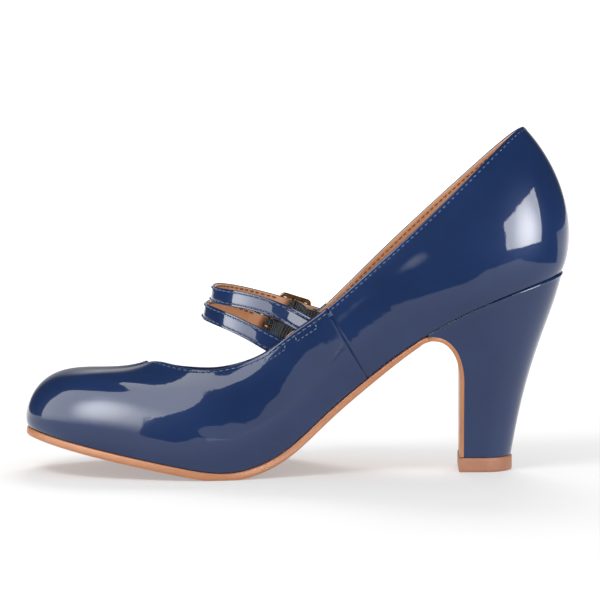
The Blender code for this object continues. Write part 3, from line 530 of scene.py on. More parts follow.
def thread_material(name, colour, roughness):
    n = material_nodes(name)
    twist = n.noise(2600, 2)
    n.tint(twist, [c * 0.6 for c in colour], [min(1, c * 1.5) for c in colour])
    n.join(n.bump(twist, "Fac", 0.00004), "Normal", n.shader, "Normal")
    n.set(Roughness=roughness)
    return n.owner


def brass_material():
    """Antique brass: dark patina rubbed bright in places, finely scratched."""
    n = material_nodes("antique_brass")
    patina = n.noise(420, 5, 0.65)
    n.tint(patina, (0.13, 0.075, 0.030), (0.52, 0.33, 0.15), 0.30, 0.72)
    n.join(n.map_range(patina, "Fac", 0.42, 0.20), "Result", n.shader, "Roughness")
    n.join(n.bump(n.noise(2400, 2), "Fac", 0.000012), "Normal", n.shader, "Normal")
    n.set(Metallic=1.0)
    return n.owner


NAVY = (0.0100, 0.0300, 0.1070)
patent = patent_material("navy_patent")
patent_heel = patent_material("navy_patent_heel", 0.5)
patent_strap = patent_material("navy_patent_strap", 0.35)
lining_leather = leather_material("tan_lining", (0.66, 0.37, 0.20), (0.82, 0.50, 0.30), 520, 0.00005, 0.58)
sole_leather = leather_material("tan_sole", (0.47, 0.185, 0.078), (0.57, 0.24, 0.108), 260, 0.00004, 0.4, 0.5)
tip_rubber = leather_material("tan_top_piece", (0.41, 0.17, 0.09), (0.48, 0.215, 0.12), 900, 2e-5, 0.5, 0.4)
# elastic web: its own black, set darker still as painted shade between the cords
elastic_weave_with_painted_shade = thread_material("black_elastic_and_painted_shade", (0.004, 0.006, 0.010), 0.7)
# cords lighter and bluer than the web: a painted sheen on the elastic's ridges
elastic_cord_painted_sheen = thread_material("elastic_cord_painted_sheen", (0.014, 0.026, 0.040), 0.5)
# navy thread set lighter and bluer than the navy patent: a painted sheen standing in for the thread's glints
navy_thread_painted_sheen = thread_material("navy_thread_painted_sheen", (0.050, 0.095, 0.200), 0.30)
brown_thread = thread_material("brown_thread", (0.125, 0.055, 0.028), 0.5)
# needle holes are near-black discs: painted shade standing in for the dark inside each hole
hole_painted_shade = thread_material("needle_hole_painted_shade", (0.003, 0.004, 0.010), 0.8)
brass = brass_material()


# Upper


MILLIMETRES = 1000  # in a metre
TOP_STEPS = np.array([2.8, 2.3, 1.9, 1.62, 1.42, 1.3, 1.22, 1.15, 1.08, 1.0, 0.88, 0.7, 0.48, 0.24, 0.0])
TOP_STEPS = TOP_STEPS / MILLIMETRES
LOWER_ROWS = 44


def wall_shares(s):
    """Rows up the wall: even ones to just below the stitches, then fine ones to the topline."""
    top = share_below(s, TOP_STEPS)
    low = np.linspace(0, 1, LOWER_ROWS, endpoint=False)[None, :] * top[:, :1]
    return np.hstack([low, top])


def stitch_valley(distance, depth, half):
    """How far the surface is pulled in beside a row of stitches."""
    return -depth * np.exp(-((distance / half) ** 2))


def shell_loops(s, low_depth, high_depth, valley, rim_rise, vamp):
    """Closed sections of a layer of the wall between two depths below the outer skin, rounded at the top."""
    t = wall_shares(s)
    points, normals = outer_points(s, t), outer_normals(s, t)
    below = np.concatenate([np.full(LOWER_ROWS, 1.0), TOP_STEPS])
    step = SEAM_STEP * on_vamp(s)[:, None] if vamp else -SEAM_SINK * seam_roll(s)[:, None]
    pull = stitch_valley(below - TOP_ROW, valley, 0.00042)[None, :]
    outer = points + normals * (step + pull - high_depth)[..., None]
    inner = points - normals * low_depth
    up = unit(points[:, -1] - points[:, -3])
    out = normals[:, -1]
    radius = (low_depth - high_depth + step[:, 0]) / 2
    halfway = (low_depth + high_depth - step[:, 0]) / 2
    rise = np.broadcast_to(rim_rise, len(s))
    middle = points[:, -1] + up * rise[:, None] - out * halfway[:, None]
    rim = [
        middle + out * (radius * math.cos(a))[:, None] + up * (radius * math.sin(a) * 0.95)[:, None]
        for a in np.linspace(0, math.pi, 9)
    ]
    if np.any(rise > 0):
        outer[:, -1] = rim[0]
    for side in (outer, inner):
        side[:, 0, 2] = feather_height(side[:, 0, 0]) + GAP
    keep = np.r_[LOWER_ROWS + len(TOP_STEPS) - 1:LOWER_ROWS:-3, LOWER_ROWS:0:-4, 0]
    return np.concatenate([outer, np.stack(rim[1:-1], axis=1), inner[:, keep]], axis=1)


def make_vamp():
    edge = SEAM_AT - np.array([0.0, 0.00008, 0.0002, 0.00036, 0.0006, 0.0011])
    body = np.linspace(-(SEAM_AT - 0.0022), SEAM_AT - 0.0022, 300)
    s = np.concatenate([-edge, body, edge[::-1]])
    loops = shell_loops(s, PATENT, 0.0, STITCH_VALLEY, 0.0, vamp=True)
    new_mesh("vamp", *loft(loops), patent, "patent", ["upper"], sharp=50)


def make_quarters():
    edge = np.array([-0.0006, 0.0, 0.0002, 0.0004, 0.0006, 0.0008, 0.0011])
    body = np.linspace(SEAM_AT + 0.0020, AROUND - SEAM_AT - 0.0020, 260)
    s = np.concatenate([SEAM_AT + edge, body, AROUND - SEAM_AT - edge[::-1]])
    loops = shell_loops(s, PATENT, 0.0, STITCH_VALLEY, 0.0, vamp=False)
    new_mesh("quarters", *loft(loops), patent, "patent", ["upper"], sharp=50)


def make_lining():
    s = np.linspace(0, AROUND, 420, endpoint=False)
    low, high = (topline_at(share, -1)[1] for share in EDGE_SHOWN)
    between = smooth_step((s - low) / EDGE_EASE) * smooth_step((high - s) / EDGE_EASE)
    rise = RIM_LINING + EDGE_RISE * between
    loops = shell_loops(s, WALL, PATENT + 0.00002, 0.0, rise, vamp=False)
    new_mesh("lining", *loft(loops, ring=True), lining_leather, "lining", ["upper"], sharp=50)


# Insole, sole and heel


def slab_loops(left, right, columns):
    """Closed sections of a slab. left and right hold each station's edge points from top to bottom."""
    share = np.linspace(0, 1, columns + 2)[1:-1][None, :, None]
    top, low = (
        first[:, None] + (last - first)[:, None] * share
        for first, last in ((left[:, 0], right[:, 0]), (right[:, -1], left[:, -1]))
    )
    return np.concatenate([top, right, low, left[:, ::-1]], axis=1)


def make_insole():
    half = stations(170)
    ends = (half, -half)
    depths = ((0.0, 0.0), (0.0, 0.62), (0.00015, 0.80), (0.00045, 0.93), (0.0010, 1.0))
    sides = []
    for s in ends:
        levels = []
        for inset, share in depths[::-1]:
            chain = feather_chain(s, -(WALL + GAP * 1.05 + inset))
            levels.append(chain + UP * (GAP + INSOLE_THICKNESS * share))
        sides.append(np.stack(levels, axis=1))
    points, faces = loft(slab_loops(*sides, 12), cap=False)
    new_mesh("insole_sock", points, faces, lining_leather, "lining", ["insole"])


def breast_line(count):
    """The heel's front in side view, as points with normals from the shank line over and down to the tip."""
    start_x = SECTIONS[SHANK_SECTION][0] * LENGTH
    small = LENGTH * 0.001
    start = np.array([start_x, float(feather_height(start_x))])
    rise = float(feather_height(start_x + small) - feather_height(start_x - small))
    slope = unit(np.array([2 * small, rise]))
    heel_back = SECTIONS[-1][0] * LENGTH
    front_x = heel_back - TIP_BACK + TIP_LIP - TIP_LENGTH + FLAP_THICKNESS + TIP_LIP
    foot_z = TIP_HEIGHT + GAP
    turn_z = foot_z + 0.40 * HEEL_HEIGHT
    bend = front_x - start_x
    corners = [
        start,
        start + slope * bend * 0.46,
        np.array([front_x, turn_z + bend * 0.98]),
        np.array([front_x, turn_z]),
    ]
    t = np.linspace(0, 1, count * 4)[:, None]
    straight = np.column_stack([np.full(count, front_x), np.linspace(turn_z, foot_z, count + 1)[1:]])
    line = np.vstack([bezier(corners, t), straight])
    ahead = unit(np.gradient(line, axis=0))
    return line, np.column_stack([-ahead[:, 1], ahead[:, 0]])


BREAST = 40
HEEL_COLUMNS = 81
CLOSING_COLUMNS = 8
HEEL_BLEND = 1.7  # how soon the heel's plan turns from its seat's outline to its foot's
SECTION_FOOT_X = column(SECTIONS, SECTION_COLUMNS, "foot") * LENGTH


def flap_rows(line):
    return np.linspace(0, len(line) - 1, 2 * BREAST + 1).astype(int)[1:]


def tip_outline(front_x, back_x, v, lip):
    """Plan outline of the heel's foot: straight front and sides, round back. v runs from corner to corner."""
    half = TIP_WIDTH / 2
    straight = (back_x - front_x) - half
    arc = math.pi * half
    run = v * (2 * straight + arc)
    turn = np.clip((run - straight) / half, 0, math.pi)
    x = front_x + np.minimum(run, straight) + half * np.sin(turn) - np.maximum(run - straight - arc, 0)
    y = -half * np.cos(turn)
    centre = front_x + straight
    out = np.where(
        (turn > 0)[:, None] & (turn < math.pi)[:, None],
        np.column_stack([x - centre, y]) / half,
        np.column_stack([0 * x, np.sign(y)]),
    )
    return np.column_stack([x, y]) + lip * out


def heel_shape():
    """Level loops of the heel block, from the tip up to the seat."""
    line, normal = breast_line(BREAST)
    face = line + normal * GAP
    seat = feather_height(face[:, 0])
    thin = SHANK_THICKNESS * 0.35
    foot_z = TIP_HEIGHT + GAP
    level_of = (face[:, 1] - foot_z) / (seat - foot_z)
    shared = [i for i in flap_rows(line) if face[i, 1] < seat[i] - thin][::-1]
    levels = np.append(level_of[shared], 1.0)
    levels[0] = 0.0
    front_x = np.append(face[shared, 0], face[shared[-1], 0])
    heel_back = SECTIONS[-1][0] * LENGTH
    tip_back = heel_back - TIP_BACK
    v = np.linspace(0, 1, HEEL_COLUMNS)
    corner = np.interp(front_x[-1], SECTION_FOOT_X, ROW_AT)
    top = feather_chain(corner + v * (AROUND - 2 * corner), HEEL_LIP)
    back_x = top[:, 0].max()
    tip = tip_outline(front_x[0], tip_back, v, 0.0)
    share_top = (top[:, 0] - top[0, 0]) / (back_x - top[0, 0])
    share_tip = (tip[:, 0] - tip[0, 0]) / (tip_back - tip[0, 0])
    level_column = column(HEEL_BACK, HEEL_BACK_COLUMNS, "level")
    out_column = column(HEEL_BACK, HEEL_BACK_COLUMNS, "out")
    loops = []
    for level, x0 in zip(levels, front_x):
        blend = level**HEEL_BLEND
        x1 = tip_back + (back_x - tip_back) * float(cubic(level_column, out_column, level))
        x = x0 + (share_tip + (share_top - share_tip) * blend) * (x1 - x0)
        y = tip[:, 1] + (top[:, 1] - tip[:, 1]) * blend
        z = foot_z + level * (feather_height(x) - foot_z)
        loops.append(np.column_stack([x, y, z]))
    return np.array(loops)


def level_solid(levels):
    """Points and faces of a solid from level outlines, each open at one side and closed by rows across it."""
    outline = levels.shape[1]
    share = np.linspace(0, 1, CLOSING_COLUMNS + 2)[1:-1]
    first, last = levels[:, :1], levels[:, -1:]
    loops = np.concatenate([levels, last + (first - last) * share[None, :, None]], axis=1)
    rows, columns = loops.shape[:2]
    faces = quads(rows, columns)
    for start in (0, (rows - 1) * columns):
        for i in range(outline // 2):
            quad = (start + i, start + i + 1, start + outline - 2 - i, start + outline - 1 - i)
            faces.append(tuple(dict.fromkeys(quad)))
        faces.append((start + outline - 1, *range(start + outline, start + columns), start))
    return loops.reshape(-1, 3), faces


def make_heel():
    levels = heel_shape()
    rim = levels[-1]
    inward = unit((rim.mean(axis=0) - rim) * (1, 1, 0))
    share = (rim[:, :1] - rim[0, 0]) / (rim[:, 0].max() - rim[0, 0])
    grown = 0.15 + 0.95 * smooth_step((share - 0.45) / 0.35)
    rounding = (
        (0.00085, 0.0), (0.00060, 0.00003), (0.00038, 0.00011), (0.00020, 0.00024), (0.00007, 0.00042),
        (0.0, 0.00065), (0.0, 0.0012),
    )
    edge = [rim + grown * (inward * inset - UP * drop) for drop, inset in rounding]
    points, faces = level_solid(np.concatenate([levels[:-1], edge]))
    new_mesh("heel_cover", points, faces, patent_heel, "patent_heel", ["heel"], sharp=45)


def make_top_piece():
    front = heel_shape()[0, 0, 0]
    tip_back = SECTIONS[-1][0] * LENGTH - TIP_BACK
    front_x = front - GAP - FLAP_THICKNESS - TIP_LIP
    v = np.linspace(0, 1, 97)
    rows = []
    profile = (
        (0.0006, 0.0), (0.00028, 0.00012), (0.00008, 0.00034), (0.0, 0.0006), (0.0, 0.0016), (0.0, 0.0030),
        (0.0, 0.0044), (0.0, 0.0054), (0.00008, 0.0057), (0.00024, 0.00592), (0.0005, 0.0060),
    )
    for inset, z in profile:
        outline = tip_outline(front_x + inset, tip_back, v, TIP_LIP - inset)
        rows.append(np.column_stack([outline, np.full(len(v), z)]))
    points, faces = level_solid(np.array(rows))
    new_mesh("top_piece", points, faces, tip_rubber, "top_piece", ["heel_tip"])


def make_sole():
    """Sole from the toe to the shank's end, then the flap down the heel's front, with rounded edges."""
    shank_at = ROW_AT[SHANK_SECTION]
    half = stations(230)
    half = np.append(half[half < shank_at - 0.001], shank_at)
    chain_at = np.concatenate([half[::-1], -half[1:]])
    plan = feather_chain(chain_at, SOLE_LIP)
    plan[:, 2] -= GAP * 0.3
    thick = sole_thickness(plan[:, 0])
    small = LENGTH * 0.001
    rise = feather_height(plan[:, 0] + small) - feather_height(plan[:, 0] - small)
    run = unit(np.column_stack([np.full(len(plan), 2 * small), rise]))
    down = np.column_stack([run[:, 1], 0 * thick, -run[:, 0]])
    line, normal = breast_line(BREAST)
    keep = flap_rows(line)
    line, normal = line[keep], normal[keep]
    heel = heel_shape()
    corner_z = heel[:, 0, 2]
    flap = {}
    for side, index in (("medial", 0), ("lateral", -1)):
        corner_y = heel[:, index, 1]
        shank_y = plan[0 if side == "medial" else -1, 1]
        y = np.interp(line[:, 1], corner_z, corner_y)
        over = np.clip((line[:, 0] - plan[0, 0]) / (heel[-1][0, 0] - plan[0, 0]), 0, 1)
        y = np.where(line[:, 0] < heel[-1][0, 0], shank_y + (corner_y[-1] - shank_y) * over, y)
        flap[side] = np.column_stack([line[:, 0], y, line[:, 1]])
    flap_down = np.column_stack([-normal[:, 0], 0 * normal[:, 0], -normal[:, 1]])
    fade = np.clip(np.arange(1, len(line) + 1) / (BREAST * 0.8), 0, 1)
    flap_thick = thick[0] + (FLAP_THICKNESS - thick[0]) * fade
    chain = np.vstack([flap["medial"][::-1], plan, flap["lateral"]])
    below = np.vstack([flap_down[::-1], down, flap_down])
    depth = np.concatenate([flap_thick[::-1], thick, flap_thick])[:, None]
    inward = np.zeros_like(chain)
    _, _, _, out, _, _, _ = loop_frame(chain_at)
    count = len(line)
    inward[:count, 1] = 1
    inward[-count:, 1] = -1
    inward[count:-count] = -out
    ease = np.minimum(depth, SOLE_THICKNESS) * 0.30
    profile = (
        (0.55, 0.0), (0.22, 0.02), (0.06, 0.07), (0.0, 0.16), (0.0, 0.30), (-0.03, 0.45), (0.0, 0.60),
        (0.05, 0.72), (0.18, 0.84), (0.42, 0.94), (0.80, 0.99), (1.30, 1.0),
    )
    levels = []
    tucked = np.zeros_like(depth)
    tucked[:count, 0] = FLAP_TUCK * fade[::-1]
    tucked[-count:, 0] = FLAP_TUCK * fade
    for inset, share in profile:
        level = chain + below * (depth * share - tucked * (share < 0.05)) + inward * ease * inset
        level[:, 2] = np.maximum(level[:, 2], 0)
        on_flap = np.r_[0:count, len(level) - count:len(level)]
        level[on_flap, 2] = np.maximum(level[on_flap, 2], TIP_HEIGHT + GAP)
        levels.append(level)
    edge = np.stack(levels, axis=1)
    middle = len(chain) // 2
    left = edge[:middle + 1]
    right = edge[middle:][::-1]
    points, faces = loft(slab_loops(left, right, 10))
    new_mesh("sole", points, faces, sole_leather, "sole", ["outsole"], sharp=50)


# Straps, elastics and buckles


def topline_at(share, side):
    """Outer topline's point at a share of LENGTH on a side (-1 medial, 1 lateral), and its place s."""
    half = np.linspace(0, ROW_AT[-1], 400)
    row = cubic(LOOP_KNOTS, LOOP_ROWS, half, AROUND)
    k = np.interp(share * LENGTH, row[:, 2], half)
    s = k if side < 0 else AROUND - k
    return outer_points(np.array([s]), [1.0])[0, 0], s


class Wall:
    """Outer and inner wall near a place on the topline: how far out they stand, looked up in side view."""

    def __init__(self, share, side):
        _, s = topline_at(share, side)
        near = s + np.linspace(-0.06, 0.06, 110) * AROUND
        t = np.linspace(0.5, 1, 90)
        self.side = side
        step = SEAM_STEP * outer_normals(near, t)
        self.skins = {
            "outer": (outer_points(near, t) + step).reshape(-1, 3),
            "inner": inner_points(near, t).reshape(-1, 3),
        }

    def out(self, which, x, z):
        points = self.skins[which]
        apart = (points[:, 0] - x) ** 2 + (points[:, 2] - z) ** 2
        nearest = np.argpartition(apart, 6)[:6]
        weight = 1 / (apart[nearest] + 1e-10)
        return float((points[nearest, 1] * self.side * weight).sum() / weight.sum())

    def beside(self, which, place, lean, clear):
        """How far out a strap's middle lies beside the wall, and how its width follows the wall."""
        half = STRAP_WIDTH / 2
        across = np.linspace(-half, half, 7)
        heights = np.array([self.out(which, place[0] + lean[0] * k, place[2] + lean[2] * k) for k in across])
        slant = (heights[-1] - heights[0]) / (2 * half)
        level = heights - slant * across
        out = level.max() + clear if which == "outer" else level.min() - clear
        return out * self.side, slant * self.side


def along(points):
    return np.concatenate([[0], np.cumsum(np.linalg.norm(np.diff(points, axis=0), axis=1))])


def resample(points, extra, spacing):
    """The same route as a smooth curve with points evenly spaced, and its extra values at those points."""
    run = along(points)
    count = max(8, int(round(run[-1] / spacing)))
    even = np.linspace(0, run[-1], count)
    return cubic(run, points, even), cubic(run, extra, even)


def lean_vector(degrees):
    turn = np.radians(degrees)
    return np.stack([np.sin(turn), 0 * turn, np.cos(turn)], axis=-1)


def frame_along(route, lean):
    """Unit directions along a route: ahead, across the strap's width, and out of its face."""
    ahead = unit(np.gradient(route, axis=0))
    wide = unit(lean - (lean * ahead).sum(1, keepdims=True) * ahead)
    return ahead, wide, np.cross(wide, ahead)


def strap_route(strap):
    """A strap's middle line from inside the medial wall, over the foot, down the lateral wall's outside."""
    c = dict(zip(STRAP_COLUMNS, strap))
    clear = SKIM + STRAP_THICKNESS / 2
    foot_lean = lean_vector(c["lean_foot"])
    ends = {}
    for side, which in ((-1, "inner"), (1, "outer")):
        wall = Wall(c[which], side)
        base, _ = topline_at(c[which], side)
        y, _ = wall.beside(which, base, foot_lean, clear)
        ends[side] = (wall, np.array([base[0], y, base[2]]), which)
    medial, lateral = ends[-1][1], ends[1][1]
    apex = np.array([c["apex"] * LENGTH, 0.0, medial[2] + c["height"] * BACK_HEIGHT])
    turn = np.linspace(math.pi, 0, 27)[1:-1]
    q = np.sin(turn) ** (2 / c["square"])
    across = np.sign(np.cos(turn)) * np.abs(np.cos(turn)) ** (2 / c["square"])
    over = np.empty((len(turn), 3))
    base = np.where(across[:, None] < 0, medial, lateral)
    over[:, 0] = base[:, 0] + (apex[0] - base[:, 0]) * q
    over[:, 1] = np.abs(base[:, 1]) * across
    bow = np.where(across < 0, c["bow_in"], c["bow_out"])
    over[:, 2] = base[:, 2] + (apex[2] - base[:, 2]) * (1 - (1 - q) ** bow)
    lean_over = lean_vector(c["lean_foot"] + (c["lean_top"] - c["lean_foot"]) * q)
    pieces, leans = [over], [lean_over]
    lengths = {-1: STRAP_TUCK, 1: TAIL_LENGTH - BUCKLE_REACH + TAIL_SPARE}
    for side in (-1, 1):
        wall, start, which = ends[side]
        steep = c["bow_in"] if side < 0 else c["bow_out"]
        slide = unit(np.array([start[0] - apex[0], 0.0, (start[2] - apex[2]) * steep]))
        run, lean = [], []
        for distance in np.linspace(0, lengths[side], 5):
            place = start + slide * distance
            place[1], slope = wall.beside(which, place, foot_lean, clear)
            run.append(place)
            lean.append(foot_lean + np.array([0.0, slope, 0.0]))
        if side < 0:
            pieces, leans = [run[::-1], *pieces], [lean[::-1], *leans]
    route, lean = resample(np.vstack([*pieces, run]), np.vstack([*leans, lean]), STRAP_STEP)
    return route, lean, ends[1]


def hook_radius():
    """From the middle bar's axis to the middle of the elastic round it."""
    return math.hypot(BUCKLE_BAR, BUCKLE_PLATE) / 2 + GAP * 0.5 + ELASTIC_THICKNESS / 2


def strap_and_buckle(strap):
    """The strap's line, threaded through its buckle, and the buckle's middle with its directions."""
    route, lean, (wall, base, _) = strap_route(strap)
    run = along(route)
    base_at = run[int(np.argmin(np.linalg.norm(route - base, axis=1)))]
    ahead = run - (base_at - BUCKLE_REACH)
    at = read_along((-BUCKLE_STRAIGHT, 0.0, STRAIGHT_TO), ahead, route)
    forward = unit(at[2] - at[0])
    centre = at[0] + forward * ((at[1] - at[0]) @ forward)
    on_line = centre + ahead[:, None] * forward
    near = 1 - smooth_step((np.abs(ahead) - BUCKLE_STRAIGHT) / STRAIGHT_EASE)[:, None]
    route = route + near * (on_line - route)
    lean_at = read_along(0.0, ahead, lean)
    lean = lean + near * (lean_at - lean)
    _, _, out = frame_along(route, lean)
    wide_at = unit(lean_at - (lean_at @ forward) * forward)
    normal = np.cross(wide_at, forward)
    under = BUCKLE_PLATE / 2 + GAP + STRAP_THICKNESS / 2
    over = hook_radius() + ELASTIC_THICKNESS / 2 + GAP + STRAP_THICKNESS / 2
    half_window = BUCKLE_LENGTH / 2 - BUCKLE_RAIL
    hop = 1 - smooth_step((np.abs(ahead) - HOP_FLAT) / (half_window - HOP_MARGIN))
    route = route + out * ((over + under) * hop)[:, None]
    for i in np.flatnonzero(ahead > WALL_FROM):
        more = GAP * smooth_step((ahead[i] - BUCKLE_LENGTH / 2) / BUCKLE_RAIL)
        clear_of_wall, _ = wall.beside("outer", route[i], unit(lean[i]), SKIM + more + STRAP_THICKNESS / 2)
        route[i, 1] = max(route[i, 1], clear_of_wall)
    keep = ahead <= TAIL_LENGTH
    middle = centre + normal * under
    return route[keep], lean[keep], ahead[keep], middle, (forward, wide_at, normal), wall


def elastic_line(middle, axes, wall, sunk):
    """From inside the lateral wall up to the buckle's middle bar, and round it as an open hook."""
    forward, wide, normal = axes
    radius = hook_radius()
    points, leans = [], []
    clear = SKIM + ELASTIC_THICKNESS / 2
    for distance in np.linspace(BUCKLE_REACH + STRAP_TUCK, BUCKLE_REACH - ELASTIC_RISE, 6):
        place = middle + forward * distance - wide * sunk
        place[1], slope = wall.beside("inner", place, unit(wide * np.array([1, 0, 1.0])), clear)
        points.append(place)
        leans.append(wide + np.array([0.0, slope - wide[1], 0.0]))
    last = points[-1] - middle
    low = np.array([last @ forward, last @ normal])
    for share in (0.38, 0.70):
        ahead = HOOK_REACH + (low[0] - HOOK_REACH) * (1 - share)
        depth = -radius + (low[1] + radius) * (1 - share) ** HOOK_EASE
        points.append(middle + forward * ahead + normal * depth - wide * sunk * (1 - share))
        leans.append(wide)
    for degrees in (-35, -5, 25, 55, 85, 115, 145):
        turn = math.radians(degrees)
        points.append(middle - forward * radius * math.sin(turn) - normal * radius * math.cos(turn))
        leans.append(wide)
    return resample(np.array(points), np.array(leans), 0.00012)


def arc(centre, radius, start, count):
    """Points of a quarter circle in a plane, from start degrees on."""
    turn = np.radians(np.linspace(start, start + 90, count))
    return [(centre[0] + radius * math.cos(a), centre[1] + radius * math.sin(a)) for a in turn]


def rounded_section(half, low, high, corner, crown=0.0, rows=()):
    """Cross-section of a strip: across from -half to half, through from low to high, corners rounded.

    rows are the places across at which stitches pull the outer face in.
    """
    flat = half - corner
    section = arc((flat, low + corner), corner, -90, 5) + arc((flat, high - corner), corner, 0, 5)
    for k in np.linspace(flat, -flat, 17)[1:-1]:
        dip = sum(stitch_valley(k - row, 0.00011, 0.00040) for row in rows)
        section.append((k, high + crown * (1 - (k / half) ** 2) + dip))
    section += arc((-flat, high - corner), corner, 90, 5) + arc((-flat, low + corner), corner, 180, 5)
    return np.array(section)


def sweep(route, lean, section, scale=None):
    """Closed loops of a cross-section carried along a route. scale narrows it at each point."""
    _, wide, out = frame_along(route, lean)
    scale = np.ones(len(route)) if scale is None else scale
    across = section[None, :, 0] * scale[:, None]
    through = np.broadcast_to(section[None, :, 1], across.shape)
    return route[:, None] + wide[:, None] * across[..., None] + out[:, None] * through[..., None]


def cutter_box(centre, axes, sizes):
    """A box for a Boolean, at centre, with its sides along axes."""
    signs = [(a, b, c) for a in (-1, 1) for b in (-1, 1) for c in (-1, 1)]
    halves = [axis * size / 2 for axis, size in zip(axes, sizes)]
    points = [centre + sum(sign * half for sign, half in zip(trio, halves)) for trio in signs]
    faces = [(0, 1, 3, 2), (4, 6, 7, 5), (0, 4, 5, 1), (2, 3, 7, 6), (0, 2, 6, 4), (1, 5, 7, 3)]
    return new_object("cutter", np.array(points) + PLACE, faces)


def cut(piece, cutter):
    """Takes the cutter's space out of a piece for good, and removes the cutter."""
    modifier = piece.modifiers.new("cut", "BOOLEAN")
    modifier.operation = "DIFFERENCE"
    modifier.solver = "EXACT"
    modifier.object = cutter
    bpy.context.view_layer.update()
    graph = bpy.context.evaluated_depsgraph_get()
    made = bpy.data.meshes.new_from_object(piece.evaluated_get(graph))
    piece.modifiers.clear()
    piece.data = made
    bpy.data.objects.remove(cutter, do_unlink=True)
    shade(made)


def make_strap(strap):
    name = strap[0]
    route, lean, ahead, middle, axes, wall = strap_and_buckle(strap)
    taper = np.clip((TAIL_LENGTH - ahead) / (STRAP_WIDTH * 0.55), 0, 1)
    scale = 0.30 + 0.70 * np.sqrt(1 - (1 - taper) ** 2)
    scale = scale * (1 + 0.13 * (1 - smooth_step((along(route) - STRAP_TUCK) / 0.016)))
    half, thick = STRAP_WIDTH / 2, STRAP_THICKNESS / 2
    row = half - STRAP_ROW
    face = rounded_section(half, -0.00008, thick, 0.00036, 0.00003, (row, -row))
    back = rounded_section(half - 0.00028, -thick, -0.00010, 0.00022)
    slot_place = middle - axes[0] * SLOT_BACK
    sizes = (SLOT_LENGTH, PRONG_SLOT, 0.0100)
    for tag, section, material, slot_name in (
        ("patent", face, patent_strap, "patent_strap"),
        ("lining", back, lining_leather, "lining"),
    ):
        solid = loft(sweep(route, lean, section, scale))
        piece = new_mesh(f"strap_{name}_{tag}", *solid, material, slot_name, ["strap_" + name])
        if tag == "patent":
            cut(piece, cutter_box(slot_place, axes, sizes))
    elastic_route, elastic_lean = elastic_line(middle, axes, wall, ELASTIC_SINK[name])
    make_elastic(name, elastic_route, elastic_lean, middle, axes)
    make_buckle(name, middle, axes)
    make_prong(name, middle, axes)
    sew_strap(name, route, lean, ahead, row, scale)


def make_elastic(name, route, lean, middle, axes):
    """Woven band with cords across it on both faces, pocketed for the prong's hook. The band is coloured
    darker than the cords as painted shade between them, and the cords lighter as a painted sheen.
    """
    forward, _, normal = axes
    half, thick = ELASTIC_WIDTH / 2 + 0.0001, ELASTIC_THICKNESS / 2
    band = rounded_section(half, -thick + CORD * 0.5, thick - CORD * 0.5, 0.0002)
    points, faces = loft(sweep(route, lean, band))
    replaced = ["elastic_" + name]
    web = new_mesh(f"elastic_{name}_web", points, faces, elastic_weave_with_painted_shade, "elastic", replaced, sharp=60)
    for back, up, length, depth in POCKETS:
        cut(web, cutter_box(middle - forward * back + normal * up, axes, (length, PRONG_SLOT, depth)))
    run = along(route)
    _, across, out = frame_along(route, lean)
    turn = circle(8)[:, None]
    girths = ((-1.0, 0.35), (-0.97, 0.85), (-0.5, 1.0), (0.5, 1.0), (0.97, 0.85), (1.0, 0.35))
    cords = []
    for i in range(int(run[-1] / RIB_PITCH)):
        place, side, face = (read_along((i + 0.5) * RIB_PITCH, run, v) for v in (route, across, out))
        ring = (np.cross(face, side) * np.cos(turn) * 1.35 + face * np.sin(turn)) * CORD
        for sign in (-1, 1):
            heart = place + face * sign * (thick - CORD * 0.62)
            cords.append(loft([heart + side * k * (half - 0.0001) + ring * girth for k, girth in girths]))
    new_mesh(f"elastic_{name}_cords", *joined(cords), elastic_cord_painted_sheen, "elastic", sharp=60)


def make_buckle(name, middle, axes):
    """Cast frame with rounded rails, and a middle bar."""
    forward, wide, normal = axes
    rail = RAIL_SHOWN / 2
    half_wide = BUCKLE_WIDTH / 2 - rail
    x, y = BUCKLE_LENGTH / 2 - rail - FRAME_CORNER, half_wide - FRAME_CORNER
    path = []
    for centre, start in (((x, y), 0), ((-x, y), 90), ((-x, -y), 180), ((x, -y), 270)):
        path += arc(centre, FRAME_CORNER, start, 9)
    closed = np.array([*path, path[0]])
    run = along(closed)
    path = read_along(np.linspace(0, run[-1], 121)[:-1], run, closed)
    ahead = unit(np.roll(path, -1, axis=0) - np.roll(path, 1, axis=0))
    outside = np.column_stack([ahead[:, 1], -ahead[:, 0]])
    across, through = (np.sign(a) * np.abs(a) ** RAIL_POWER for a in (np.cos(circle(20)), np.sin(circle(20))))
    through = through * (BUCKLE_PLATE + PLATE_PROUD) / 2 + PLATE_PROUD / 2
    flat = path[:, None] + outside[:, None] * (across * rail)[None, :, None]
    loops = middle + flat[..., :1] * forward + flat[..., 1:] * wide + through[None, :, None] * normal
    turn = circle(16)[:, None]
    ring = forward * np.cos(turn) * BUCKLE_BAR / 2 * 0.98 + normal * np.sin(turn) * BUCKLE_PLATE / 2 * 0.94
    bar = loft([middle + wide * k + ring for k in (-half_wide, half_wide)])
    frame_and_bar = joined([loft(loops, ring=True), bar])
    new_mesh(f"buckle_{name}", *frame_and_bar, brass, "brass", ["buckle_frame_" + name], sharp=60)


def rings_round(line, side, other, radius, count):
    """Circles round the points of a line, between two directions across it."""
    turn = circle(count)[None, :, None]
    ring = np.cos(turn) * side[:, None] + np.sin(turn) * other[:, None]
    return line[:, None] + ring * radius[:, None, None]


